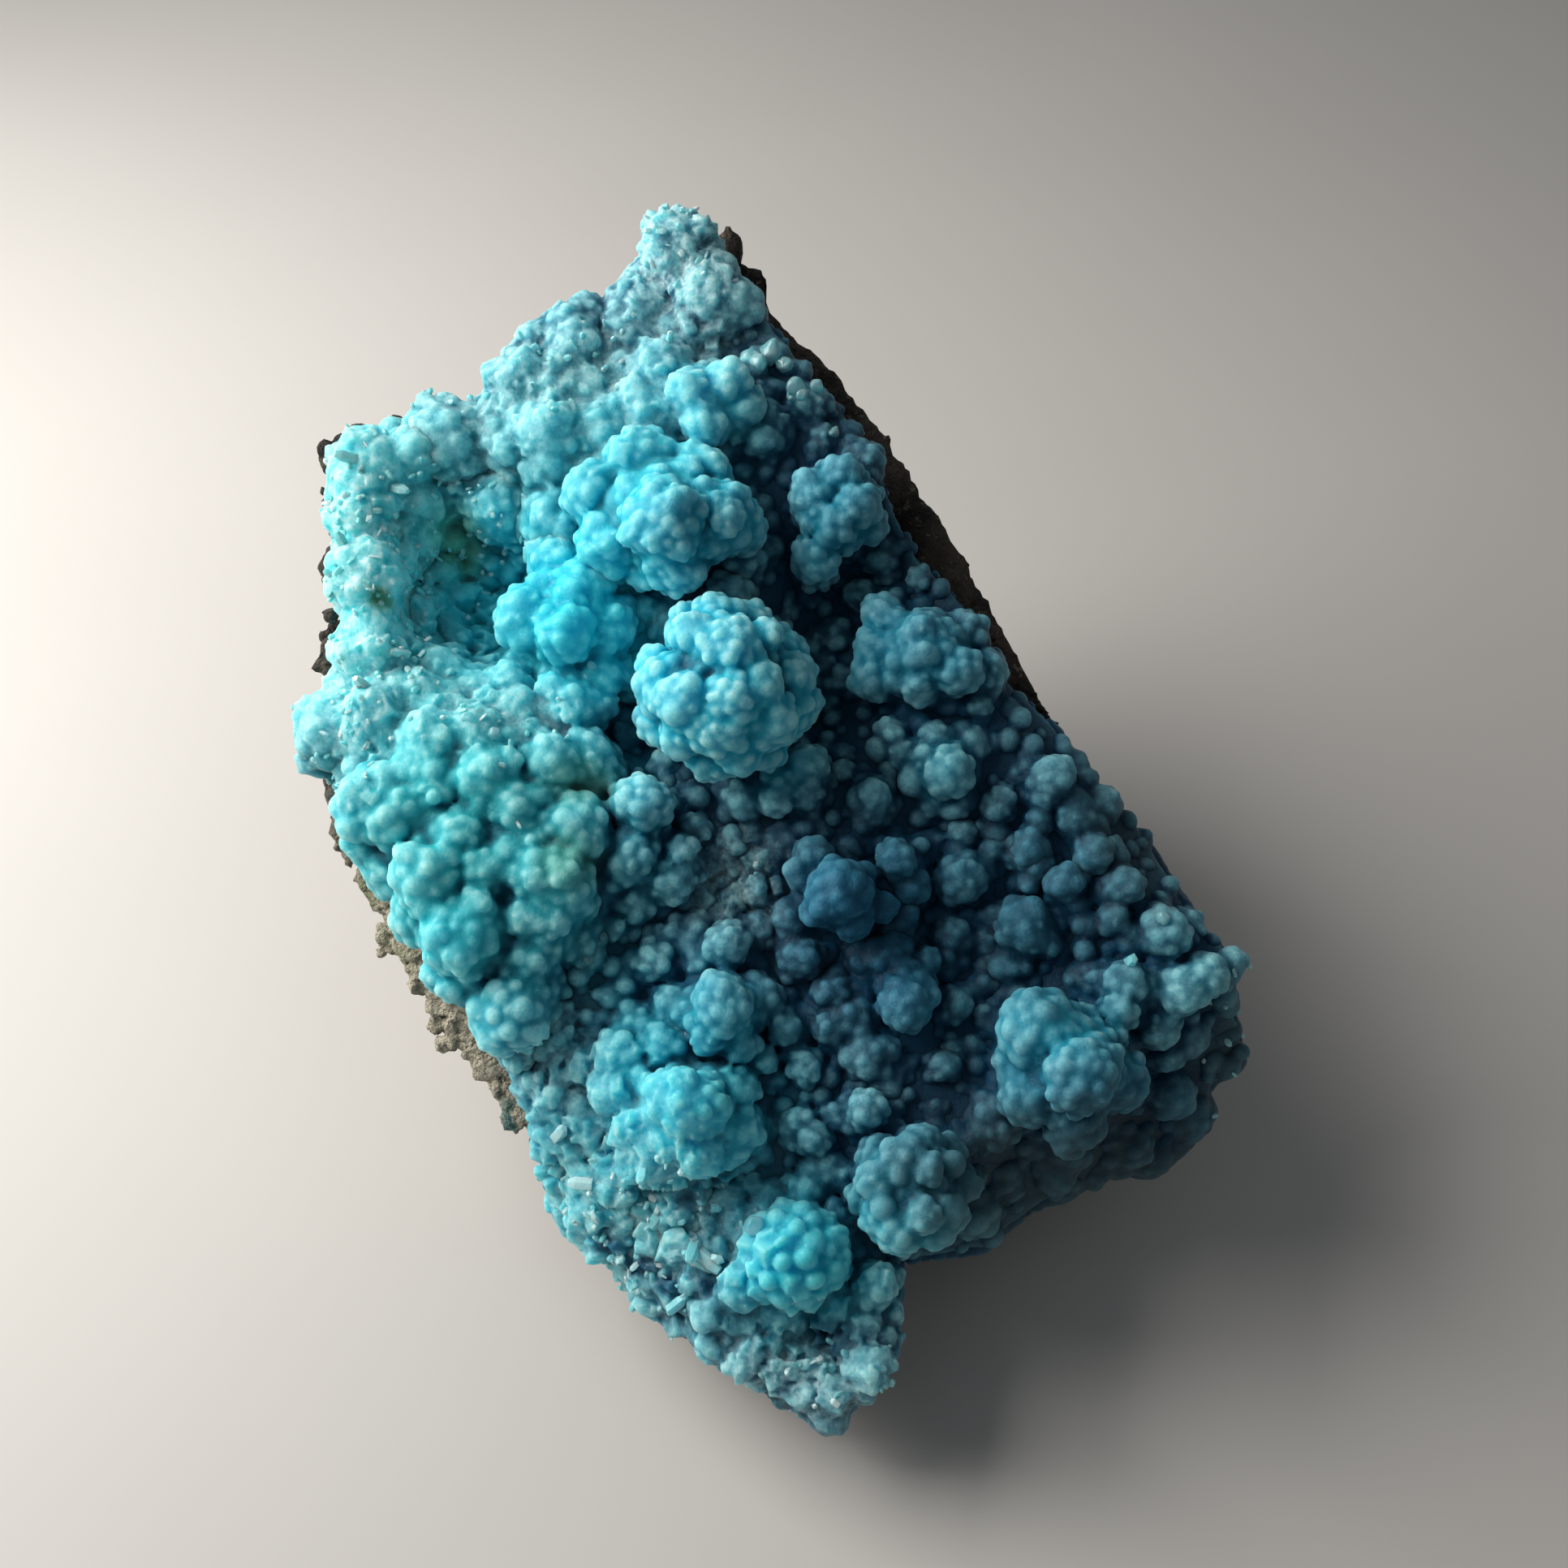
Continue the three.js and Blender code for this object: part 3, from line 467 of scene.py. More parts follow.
# Painted shade on the crust's sides below its floor.
SIDE_SHADE = (0.3, 0.5, 0.55, 1)
CRYSTAL_TINT = (0.30, 0.78, 0.88, 1)
CRYSTAL_SEAFOAM = (0.30, 0.80, 0.80, 1)
CLEAR_TINTS = ((0.6, 0.95, 0.98, 1), (0.35, 0.88, 0.94, 1))
FLOOR_SHADE = 0.97

# The soft light and the sky: place, size and aim in metres, and colours.
KEY_LIGHT = {"place": (-0.13, 0.034, 0.12), "size": 0.14, "colour": (1.0, 0.97, 0.93)}
LIGHT_AIM = (0, 0, 0.02)
SKY_COLOUR = (0.9, 0.95, 1.0, 1)


# ---- Repeatable noise ----


def eased(share):
    return share * share * (3 - 2 * share)


def smoothstep(value, low, high):
    return eased(np.clip((value - low) / (high - low), 0, 1))


def between(pair, share):
    return pair[0] + (pair[1] - pair[0]) * share


def blend_of_corners(base, share, values_at):
    """Blends the values at the eight grid points around each place."""
    total = np.zeros(len(base))
    for corner in itertools.product((0, 1), repeat=3):
        weight = np.prod(np.where(corner, share, 1 - share), axis=1)
        total += weight * values_at(base + corner)
    return total


def lattice(corners, seed):
    """A repeatable number from -1 to 1 for each point of a grid."""
    mixed = sum(part * prime for part, prime in zip((*corners.T, seed), HASH_PRIMES)) & HASH_BITS
    mixed = ((mixed ^ (mixed >> 13)) * HASH_MIX) & HASH_BITS
    return (mixed ^ (mixed >> 16)) / HASH_HALF - 1.0


def noise(places, cell, seed):
    """Smooth noise from -1 to 1 that changes over the given length."""
    scaled = places / cell
    base = np.floor(scaled).astype(np.int64)
    return blend_of_corners(base, eased(scaled - base), lambda corners: lattice(corners, seed))


def noise_vectors(places, cell, seed):
    return np.stack([noise(places, cell, seed + axis) for axis in range(3)], axis=1)


# ---- The crust's floor ----


def swell(across, up, at, half, turn, height):
    """A swell or hollow that is turned and fades out at its half sizes."""
    turn = math.radians(turn)
    x, y = across - at[0], up - at[1]
    along = (x * math.cos(turn) + y * math.sin(turn)) / half[0]
    over = (y * math.cos(turn) - x * math.sin(turn)) / half[1]
    return height * np.exp(-np.hypot(along, over) ** FADE_POWER)


def fall(across, up, start, end, slope):
    """How far the floor drops beyond one falling edge."""
    run = np.subtract(end, start)
    length = math.hypot(*run)
    run = run / length
    x, y = across - start[0], up - start[1]
    along = x * run[0] + y * run[1]
    beyond = np.clip(y * run[0] - x * run[1], 0, FALL_REACH)
    return -slope * beyond * smoothstep(along, *FALL_ENDS) * smoothstep(length - along, *FALL_ENDS)


def floor_height(across, up):
    swells = sum(swell(across, up, *form) for form in FLOOR_FORMS.values())
    return swells + sum(fall(across, up, *edge) for edge in FALLING_EDGES.values())


def outline_distance(across, up):
    """How far a place is beyond the crust's edge; inside it is negative."""
    nearest = np.full(across.shape, np.inf)
    inside = np.zeros(across.shape, bool)
    for start, end in zip(CRUST_EDGE, CRUST_EDGE[1:] + CRUST_EDGE[:1]):
        run = np.subtract(end, start)
        x, y = across - start[0], up - start[1]
        share = np.clip((x * run[0] + y * run[1]) / run.dot(run), 0, 1)
        nearest = np.minimum(nearest, np.hypot(x - share * run[0], y - share * run[1]))
        crosses = (start[1] > up) != (end[1] > up)
        if run[1]:
            inside ^= crosses & (across < start[0] + (up - start[1]) * run[0] / run[1])
    return np.where(inside, -nearest, nearest)


# ---- Fields of distance and their skins ----


class Field:
    """Distances to a surface, in millimetres, on an even grid over a block of space."""

    def __init__(self, low, high, cell):
        self.cell = cell
        self.low = np.array(low, float) - GRID_MARGIN * cell
        cells = np.ceil((np.array(high, float) - self.low) / cell).astype(int)
        self.shape = cells + GRID_MARGIN + 1
        self.away = np.full(self.shape, FAR, np.float32)

    def axis(self, number, start=0, stop=None):
        stop = self.shape[number] if stop is None else stop
        return self.low[number] + self.cell * np.arange(start, stop)

    def flat_grid(self):
        return np.meshgrid(self.axis(0), self.axis(1), indexing="ij")

    def window(self, middle, reach):
        """The part of the grid within a reach of a place, and its axes from there."""
        reach += 2 * self.cell
        low = np.floor((middle - reach - self.low) / self.cell).astype(int)
        high = np.ceil((middle + reach - self.low) / self.cell).astype(int) + 1
        low, high = (np.clip(end, 0, self.shape) for end in (low, high))
        x, y, z = (self.axis(i, low[i], high[i]) - middle[i] for i in range(3))
        part = self.away[low[0]:high[0], low[1]:high[1], low[2]:high[2]]
        return part, x[:, None, None], y[None, :, None], z[None, None, :]

    def add_ball(self, middle, radius, seam):
        part, x, y, z = self.window(middle, radius + seam)
        join(part, np.sqrt(x**2 + y**2 + z**2) - radius, seam)

    def add_block(self, middle, halves, axes, seam):
        """Adds a block with flat sides that lie along the given axes."""
        part, x, y, z = self.window(middle, float(np.linalg.norm(halves)) + seam)
        sides = [abs(x * a[0] + y * a[1] + z * a[2]) - half for a, half in zip(axes, halves)]
        join(part, np.maximum(np.maximum(sides[0], sides[1]), sides[2]), seam)

    def add_turned_block(self, ball, sizes, seam, random):
        """Adds a block in a ball's place, turned by chance, its halves shares of the radius."""
        halves = ball[3] * random.uniform(*sizes, 3)
        axes = np.linalg.qr(random.normal(size=(3, 3)))[0]
        self.add_block(ball[:3], halves, axes, seam)

    def at(self, places, values):
        """Values of a grid of this field's shape at any places."""
        scaled = (places - self.low) / self.cell
        base = np.clip(np.floor(scaled).astype(int), 0, self.shape - 2)
        return blend_of_corners(base, scaled - base, lambda corners: values[tuple(corners.T)])

    def skin(self, ease=0.0):
        """Points and triangles of the surface, with fewer of them where it is even."""
        grid = openvdb.FloatGrid(FAR)
        grid.copyFromArray(self.away)
        points, threes, fours = grid.convertToPolygons(isovalue=0.0, adaptivity=ease)
        threes, fours = threes.astype(np.int64), fours.astype(np.int64)
        faces = np.concatenate([threes, fours[:, [0, 1, 2]], fours[:, [0, 2, 3]]])
        return without_specks(points.astype(float) * self.cell + self.low, faces)


def join(part, shape, seam):
    """Joins a shape's distances to a part of a grid, with a small soft seam."""
    near = np.clip(seam - np.abs(part - shape), 0, None)
    part[:] = np.minimum(part, shape) - near * near / (4 * seam)


def filled(away, cell):
    """The share of each cell that lies inside a surface."""
    return np.clip(0.5 - away / cell, 0, 1)


def without_specks(points, faces):
    """Drops the bits of a skin that are no more than specks beside it."""
    home = np.arange(len(points))
    while True:
        before = home.copy()
        np.minimum.at(home, faces, home[faces].min(axis=1)[:, None])
        home = home[home]
        if np.array_equal(home, before):
            break
    large = np.bincount(home, minlength=len(points))[home] >= LEAST_POINTS
    renumbered = np.cumsum(large) - 1
    return points[large], renumbered[faces[large[faces[:, 0]]]]


def blurred(values, cells):
    """The mean over a cube of 2 * cells + 1 grid points a side."""
    for axis in range(3):
        room = [(cells + 1, cells) if number == axis else (0, 0) for number in range(3)]
        total = np.cumsum(np.pad(values, room, mode="edge"), axis=axis, dtype=np.float32)
        length = values.shape[axis]
        far = total.take(np.arange(2 * cells + 1, 2 * cells + 1 + length), axis=axis)
        values = (far - total.take(np.arange(length), axis=axis)) / (2 * cells + 1)
    return values


def hollowness(field, solid, points, reach):
    """How closed in each point is within a reach: 0 on a tip, 0.5 on a flat, 1 in a crease."""
    cells = max(1, round(reach / field.cell / 2))
    return field.at(points, blurred(blurred(solid, cells), cells))


# ---- Balls ----


def ball_array(rows):
    return np.array(rows, float).reshape(-1, 4)


def strength(places, across, up):
    """How strongly any of the places acts at a point, each fading out at its half sizes."""
    total = np.zeros(np.shape(across))
    for at, half, most in places:
        beyond = np.hypot((across - at[0]) / half[0], (up - at[1]) / half[1])
        total = np.maximum(total, most * np.exp(-(beyond**FADE_POWER)))
    return total


def tornness(balls):
    return np.clip(strength(TORN_PLACES, balls[:, 0], balls[:, 1]), 0, 1)


def softness(balls):
    return np.clip(strength(SOFT_PLACES, balls[:, 0], balls[:, 1]), 0, 1)


def seams_of(balls):
    """How far balls run into each other: further in soft places, less for small ones."""
    soft = softness(balls)
    return np.minimum(between(SEAMS, soft), balls[:, 3] * between(SEAM_SHARES, soft))


def drawn_in(balls):
    """Moves balls that would hang over the crust's edge to its inner side."""
    across, up = balls[:, 0].copy(), balls[:, 1].copy()
    for _ in range(DRAW_STEPS):
        here = outline_distance(across, up)
        slope_x = (outline_distance(across + SLOPE_STEP, up) - here) / SLOPE_STEP
        slope_y = (outline_distance(across, up + SLOPE_STEP) - here) / SLOPE_STEP
        move = np.clip(here + INSIDE_EDGE * balls[:, 3], 0, None)
        across -= slope_x * move
        up -= slope_y * move
    return np.column_stack([across, up, balls[:, 2:]])


def lobes_of(core, radius, lobes):
    """Lobes that sit on a core or, past it, on the floor."""
    seat = radius * LOBE_SEAT
    rows = []
    for across, up, size in lobes:
        on_core = math.sqrt(max(0, seat**2 - across**2 - up**2))
        on_floor = floor_height(core[0] + across, core[1] + up) - core[2]
        out = max(on_core, on_floor + LOBE_RISE * size)
        rows.append((core[0] + across, core[1] + up, core[2] + out, size))
    return ball_array(rows)


def ways_over(count, jitter, random):
    """Directions spread evenly over a ball."""
    step = np.arange(count) + 0.5
    out = 1 - 2 * step / count
    side = np.sqrt(1 - out**2)
    angle = step * GOLDEN_ANGLE + random.uniform(*FIRST_TURN)
    ways = np.stack([side * np.cos(angle), side * np.sin(angle), out], axis=1)
    ways += random.normal(0, jitter, ways.shape)
    return ways / np.linalg.norm(ways, axis=1, keepdims=True)


def lumps_over(ball, size, soft, random):
    """Smaller balls all over a ball, sunk in it by a share of their own radius."""
    count = max(LUMPS["least"], round(LUMPS["crowd"] * (ball[3] / size) ** 2))
    ways = ways_over(count, LUMPS["jitter"] * size / ball[3], random)
    sizes = size * random.uniform(*LUMPS["sizes"], count)
    sunk = random.uniform(*(np.interp(soft, (0, 1), pair) for pair in zip(*SUNK)), count)
    middles = ball[:3] + ways * (ball[3] - sunk * sizes)[:, None]
    return np.column_stack([middles, sizes])


def showing(lumps, parents):
    """The lumps that stick out of the balls that carry them and of the floor."""
    floor = floor_height(lumps[:, 0], lumps[:, 1])
    lumps = lumps[lumps[:, 2] + lumps[:, 3] > floor - SHOWING["under floor"]]
    kept = [np.zeros((0, 4))]
    for start in range(0, len(lumps), SHOWING["at a time"]):
        some = lumps[start:start + SHOWING["at a time"]]
        gaps = np.linalg.norm(some[:, None, :3] - parents[None, :, :3], axis=2) - parents[:, 3]
        kept.append(some[gaps.min(axis=1) + some[:, 3] > SHOWING["least"]])
    return np.concatenate(kept)


def with_lumps(balls, random):
    """The balls, the lumps on them and the lumps on those."""
    carriers = balls
    for level in LUMP_LEVELS:
        rows = [np.zeros((0, 4))]
        carriers = carriers[carriers[:, 3] >= level["from"]]
        for ball, soft in zip(carriers, softness(carriers) * (1 - tornness(carriers))):
            if random.random() < soft * SMOOTH_SHARE and ball[3] < LARGEST_SMOOTH:
                continue
            size = np.clip(ball[3] * random.uniform(*level["share"]), level["least"], level["most"])
            rows.append(lumps_over(ball, size, soft, random))
        lumps = showing(np.concatenate(rows), balls)
        balls = np.concatenate([balls, lumps])
        carriers = balls
    return balls


def cluster_balls(core, radius, lobes, random):
    """A cluster: a core with its lobes, or a ball with lumps of one size all over."""
    if isinstance(lobes, list):
        inner = (*core, radius * CORE_SHARE)
        return np.concatenate([ball_array([inner]), lobes_of(core, radius, lobes)])
    count = round(LUMPY_BALL["crowd"] * (radius / lobes) ** 2)
    sizes = lobes * random.uniform(*LUMPY_BALL["sizes"], count)
    away = radius - sizes * random.uniform(*LUMPY_BALL["sunk"], count)
    ways = ways_over(count, LUMPY_BALL["jitter"] * lobes / radius, random)
    inner = (*core, radius - LUMPY_BALL["inner"] * lobes)
    lumps = np.column_stack([core + ways * away[:, None], sizes])
    return np.concatenate([ball_array([inner]), lumps])


def floor_ball(across, up, radius, rise):
    return (across, up, float(floor_height(across, up)) + radius * rise, radius)


def scattered(spans, spacing, jitter, random):
    """Places spread unevenly over a block of the face, and how far each is past the edge."""
    grid = np.meshgrid(*(np.arange(*span, spacing) for span in spans))
    across, up = (
        part.ravel() + random.uniform(-jitter, jitter, part.size) * spacing for part in grid
    )
    return across, up, outline_distance(across, up)


def torn_balls(random):
    """Grains packed over the floor in the torn places."""
    across, up, beyond = scattered(WHOLE_FACE, TORN_CARPET["spacing"], SPREAD_JITTER, random)
    radius = random.uniform(*TORN_CARPET["radius"], across.size)
    rise = TORN_CARPET["rise"] + random.uniform(*TORN_CARPET["uneven"], up.size)
    out = floor_height(across, up) + radius * rise
    torn = strength(TORN_PLACES, across, up) > TORN_CARPET["from"]
    inside = beyond + TORN_CARPET["inside"] * radius < 0
    return np.column_stack([across, up, out, radius])[torn & inside]


def carpet_balls(spacing, size, random):
    """Balls strewn over the whole floor, each of its region's large or small size."""
    balls = []
    for x, y, past in zip(*scattered(WHOLE_FACE, spacing, SPREAD_JITTER, random)):
        for at, half, *sizes, rise in CARPETS.values():
            if math.hypot((x - at[0]) / half[0], (y - at[1]) / half[1]) < 1:
                radius = random.uniform(*sizes[size])
                if past + CARPET_INSIDE * radius <= 0:
                    rise += random.uniform(*CARPET_UNEVEN)
                    balls.append(floor_ball(x, y, radius, rise))
                break
    return ball_array(balls)


def bare_distance(x, y):
    """How far a place is from the nearest stretch of edge where rock shows."""
    nearest = math.inf
    for start, end in BARE_EDGES:
        run = np.subtract(end, start)
        share = np.clip(np.dot(np.subtract((x, y), start), run) / run.dot(run), 0, 1)
        nearest = min(nearest, np.linalg.norm(np.subtract((x, y), start + share * run)))
    return nearest


def along_edge(spacing):
    """Places at even steps along the crust's edge."""
    corners = np.array(CRUST_EDGE + CRUST_EDGE[:1], float)
    lengths = np.linalg.norm(np.diff(corners, axis=0), axis=1)
    whole = np.concatenate([[0], np.cumsum(lengths)])
    steps = np.arange(0, whole[-1], spacing)
    return np.stack([np.interp(steps, whole, corners[:, i]) for i in range(2)], axis=1)


def edge_balls(random):
    """Lumps that hide the cut side of the plate, smaller where the rock is bare."""
    balls = []
    for x, y in along_edge(EDGE_LUMPS["spacing"]):
        radius = random.uniform(*EDGE_LUMPS["radius"])
        if bare_distance(x, y) < BARE_REACH:
            radius *= EDGE_LUMPS["bare share"]
        top = float(floor_height(x, y))
        balls.append((x, y, top - random.uniform(EDGE_LUMPS["top"], CRUST_THICKNESS), radius))
    return ball_array(balls)


def all_balls():
    """The balls of each region, large ones first, and the smallest lumps on them."""
    random = np.random.default_rng(SEEDS["balls"])
    regions = {
        region: [cluster_balls(*cluster, random) for cluster in clusters.values()]
        for region, clusters in CLUSTERS.items()
    }
    homes = {region: np.concatenate(parts)[:, :2] for region, parts in regions.items()}
    singles = np.concatenate([
        ball_array([floor_ball(*ball, SMALL_BALL_RISE) for ball in SMALL_BALLS]),
        ball_array([floor_ball(*lump, SOFT_LUMP_RISE) for lump in SOFT_LUMPS]),
        carpet_balls(LARGE_CARPET, 0, random),
        carpet_balls(SMALL_CARPET, 1, random),
        torn_balls(random),
        edge_balls(random),
    ])
    nearest = np.array([
        np.linalg.norm(singles[:, None, :2] - home[None], axis=2).min(axis=1)
        for home in homes.values()
    ]).argmin(axis=0)
    return {
        region: with_lumps(drawn_in(np.concatenate([*parts, singles[nearest == number]])), random)
        for number, (region, parts) in enumerate(regions.items())
    }


# ---- Meshes ----


def shaken(points, layers):
    """Points moved by layers of noise, each a height, the length it changes over and a seed."""
    moved = points
    for height, cell, seed in layers:
        moved = moved + height * noise_vectors(points, cell, seed)
    return moved


def warped(points):
    """Makes balls and edges a little uneven, and torn places rough."""
    torn = TORN_WARP * strength(TORN_PLACES, points[:, 0], points[:, 1])[:, None]
    rough = sum(height * noise_vectors(points, cell, seed) for height, cell, seed in TORN_LAYERS)
    return shaken(points, WARP_LAYERS) + torn * rough


def to_space(points):
    """From face millimetres to metres in the frame."""
    cos, sin = math.cos(FACE_LEAN), math.sin(FACE_LEAN)
    across, up, out = points.T
    turned = np.stack([across, up * cos - out * sin, up * sin + out * cos], axis=1)
    return (turned + FACE_MIDDLE) * MM


def to_face(points):
    """From metres in the frame to face millimetres."""
    cos, sin = math.cos(FACE_LEAN), math.sin(FACE_LEAN)
    across, y, z = (points / MM - FACE_MIDDLE).T
    return np.stack([across, y * cos + z * sin, z * cos - y * sin], axis=1)


def mesh_object(name, points, faces, masks, material, smooth=True):
    """An object from points in metres, faces of one size, and numbers for each point."""
    mesh = bpy.data.meshes.new(name)
    sides = faces.shape[1]
    mesh.vertices.add(len(points))
    mesh.vertices.foreach_set("co", points.astype(np.float32).ravel())
    mesh.loops.add(faces.size)
    mesh.loops.foreach_set("vertex_index", faces.astype(np.int32).ravel())
    mesh.polygons.add(len(faces))
    mesh.polygons.foreach_set("loop_start", np.arange(0, faces.size, sides, dtype=np.int32))
    mesh.polygons.foreach_set("use_smooth", np.full(len(faces), smooth))
    for mask, values in masks.items():
        attribute = mesh.attributes.new(mask, "FLOAT", "POINT")
        attribute.data.foreach_set("value", values.astype(np.float32))
    mesh.update(calc_edges=True)
    mesh.materials.append(material)
    piece = bpy.data.objects.new(name, mesh)
    bpy.context.collection.objects.link(piece)
    print(f"{name}: {len(faces) * (sides - 2)} triangles")
    return piece


def tint_masks(places_of, points):
    """How strongly each named tint acts at each point."""
    return {name: strength(at, points[:, 0], points[:, 1]) for name, at in places_of.items()}


def crust_masks(field, solid, points):
    """What the crust's material reads at each point: tints, among them painted glow and shade,
    hollowness and height.
    """
    masks = tint_masks(TINT_PLACES, points)
    for name, reach in HOLLOW_REACHES.items():
        masks[name] = hollowness(field, solid, points, reach)
    above = points[:, 2] - floor_height(points[:, 0], points[:, 1])
    masks["rise"] = np.clip(above / FULL_RISE, 0, 1)
    # painted shade: the sides lying below the floor are darkened
    masks["side"] = smoothstep(-above, *SIDE_DEPTHS)
    return masks


def box_round(balls):
    low = (balls[:, :3] - balls[:, 3:]).min(axis=0)
    high = (balls[:, :3] + balls[:, 3:]).max(axis=0)
    return low, high


def grow_region(name, balls, cell, material):
    """The balls of one region, joined in one skin that ends a little under the floor."""
    field = Field(*box_round(balls), cell)
    random = np.random.default_rng(SEEDS["blocks"])
    for ball, seam, torn, soft in zip(balls, seams_of(balls), tornness(balls), softness(balls)):
        if ball[3] < LARGEST_BLOCK and random.random() < torn:
            block_seam = BLOCK_SEAM["least"] + BLOCK_SEAM["when soft"] * soft
            field.add_turned_block(ball, BLOCK_HALVES, block_seam, random)
        else:
            field.add_ball(ball[:3], ball[3], seam)
    over_floor = field.axis(2) - floor_height(*field.flat_grid())[:, :, None]
    beyond = outline_distance(*field.flat_grid())[:, :, None]
    under = filled(np.maximum(over_floor, beyond), cell)
    solid = np.maximum(filled(field.away, cell), under)
    depth = CUT_UNDER_FLOOR + CRUST_THICKNESS * smoothstep(beyond, *CUT_AT_EDGE)
    field.away = np.maximum(field.away, -depth - over_floor).astype(np.float32)
    points, faces = field.skin(EASE)
    masks = crust_masks(field, solid.astype(np.float32), points)
    return mesh_object(name, to_space(warped(points)), faces, masks, material)


def grow_floor(name, regions, cell, material):
    """The crust's plate, rough and knobbly at its edge."""
    corners = np.array(CRUST_EDGE)
    low, high = PLATE["out"]
    field = Field((*corners.min(axis=0), low), (*corners.max(axis=0), high), cell)
    across, up = field.flat_grid()
    floor = floor_height(across, up)[:, :, None]
    top = (field.axis(2) - floor) * PLATE["slant"]
    under = floor * CONTACT_SHARE - CRUST_THICKNESS - field.axis(2)
    edge = (outline_distance(across, up) + PLATE["inside"])[:, :, None]
    plate = np.clip(np.maximum(np.maximum(top, under), edge), -FAR, FAR).astype(np.float32)
    field.away = plate.copy()
    for balls in regions.values():
        for ball in balls[balls[:, 3] > PLATE["least shading ball"]]:
            field.add_ball(ball[:3], ball[3], SEAMS[0])
    crowded = filled(field.away, cell)
    field.away = plate
    points, faces = field.skin(EASE)
    masks = crust_masks(field, crowded, points)
    return mesh_object(name, to_space(warped(shaken(points, PLATE_LAYERS))), faces, masks, material)


def skin_of(piece):
    """Points of a piece in face millimetres, their normals and how closed in they are."""
    count = len(piece.data.vertices)
    points, normals = np.zeros((2, count * 3), np.float32)
    crease = np.zeros(count, np.float32)
    piece.data.vertices.foreach_get("co", points)
    piece.data.vertices.foreach_get("normal", normals)
    piece.data.attributes["crease"].data.foreach_get("value", crease)
    points = points.reshape(-1, 3)
    normals = to_face(points + normals.reshape(-1, 3) * MM) - to_face(points)
    return to_face(points), normals, crease


def column():
    """Points and triangles of a crystal: a column one long and one wide with a bevelled tip."""
    sides, bevel = COLUMN["sides"], COLUMN["bevel"]
    angles = np.arange(sides) * 2 * math.pi / sides
    ring = np.stack([np.cos(angles), np.sin(angles), np.zeros(sides)], axis=1)
    points = np.concatenate([
        ring, ring + (0, 0, COLUMN["shoulder"]), ring * (bevel, bevel, 1) + (0, 0, 1),
        [(0, 0, 0), (0, 0, 1)],
    ])
    faces = []
    for side in range(sides):
        after = (side + 1) % sides
        faces.append((3 * sides, after, side))
        faces.append((2 * sides + side, 2 * sides + after, 3 * sides + 1))
        for row in (0, sides):
            faces.append((row + side, row + after, row + sides + after))
            faces.append((row + side, row + sides + after, row + sides + side))
    return points, np.array(faces)


def strewn(shape, places, ways, lengths, widths, random):
    """One shape set at many places, each along its way, with its own size and flatness."""
    points, faces = shape
    side = np.cross(ways, random.normal(size=ways.shape))
    side /= np.linalg.norm(side, axis=1, keepdims=True)
    flat = np.cross(ways, side)
    wide = widths[:, None, None]
    thin = wide * random.uniform(*COLUMN["flatness"], len(ways))[:, None, None]
    all_points = (
        places[:, None]
        + points[None, :, :1] * wide * side[:, None]
        + points[None, :, 1:2] * thin * flat[:, None]
        + (points[None, :, 2:] - COLUMN["sunk"]) * lengths[:, None, None] * ways[:, None]
    )
    steps = np.arange(len(ways)) * len(points)
    return all_points.reshape(-1, 3), (faces[None] + steps[:, None, None]).reshape(-1, 3)


def leaning(normals, most, random):
    """Directions that lean away from the normals by random amounts."""
    ways = normals + most * random.normal(size=normals.shape)
    return ways / np.linalg.norm(ways, axis=1, keepdims=True)


def nearest_top(points, across, up):
    """The highest point of the skin within a small reach of a place."""
    near = np.hypot(points[:, 0] - across, points[:, 1] - up) < TOP_REACH
    return int(np.argmax(np.where(near, points[:, 2], -np.inf)))


def grow_crystals(name, skins, material):
    """Small blocky crystals on torn places of the skins, and larger ones at their own places."""
    random = np.random.default_rng(SEEDS["crystals"])
    points, normals, crease = (np.concatenate(parts) for parts in zip(*skins))
    lowest = floor_height(points[:, 0], points[:, 1]) - CRYSTALS["under floor"]
    open_skin = (crease < CRYSTALS["most crease"]) & (points[:, 2] > lowest)
    odds = strength(CRYSTAL_PLACES, points[:, 0], points[:, 1]) ** CRYSTALS["crowding"] * open_skin
    chosen = random.choice(len(points), CRYSTALS["count"], replace=False, p=odds / odds.sum())
    ways = leaning(normals[chosen], CRYSTALS["lean"], random)
    lengths = random.uniform(*CRYSTALS["length"], len(ways))
    widths = random.uniform(*CRYSTALS["width"], len(ways))
    small = strewn(column(), points[chosen], ways, lengths, widths, random)
    rows = np.array(SHARDS)
    nearest = np.array([nearest_top(points, *row[:2]) for row in rows])
    ways = leaning(normals[nearest], SHARD_LEAN, random)
    large = strewn(column(), points[nearest], ways, rows[:, 2], rows[:, 3], random)
    points, faces = joined([small, large])
    masks = tint_masks({mask: TINT_PLACES[mask] for mask in ("seafoam", "frost")}, points)
    each = random.uniform(0, 1, len(points) // len(column()[0]))
    masks["pale"] = np.repeat(each, len(column()[0]))
    return mesh_object(name, to_space(points), faces, masks, material, smooth=False)


def joined(parts):
    """Several skins' points and triangles as one."""
    starts = np.cumsum([0, *(len(points) for points, _ in parts)])
    faces = [faces + start for (_, faces), start in zip(parts, starts)]
    return np.concatenate([points for points, _ in parts]), np.concatenate(faces)


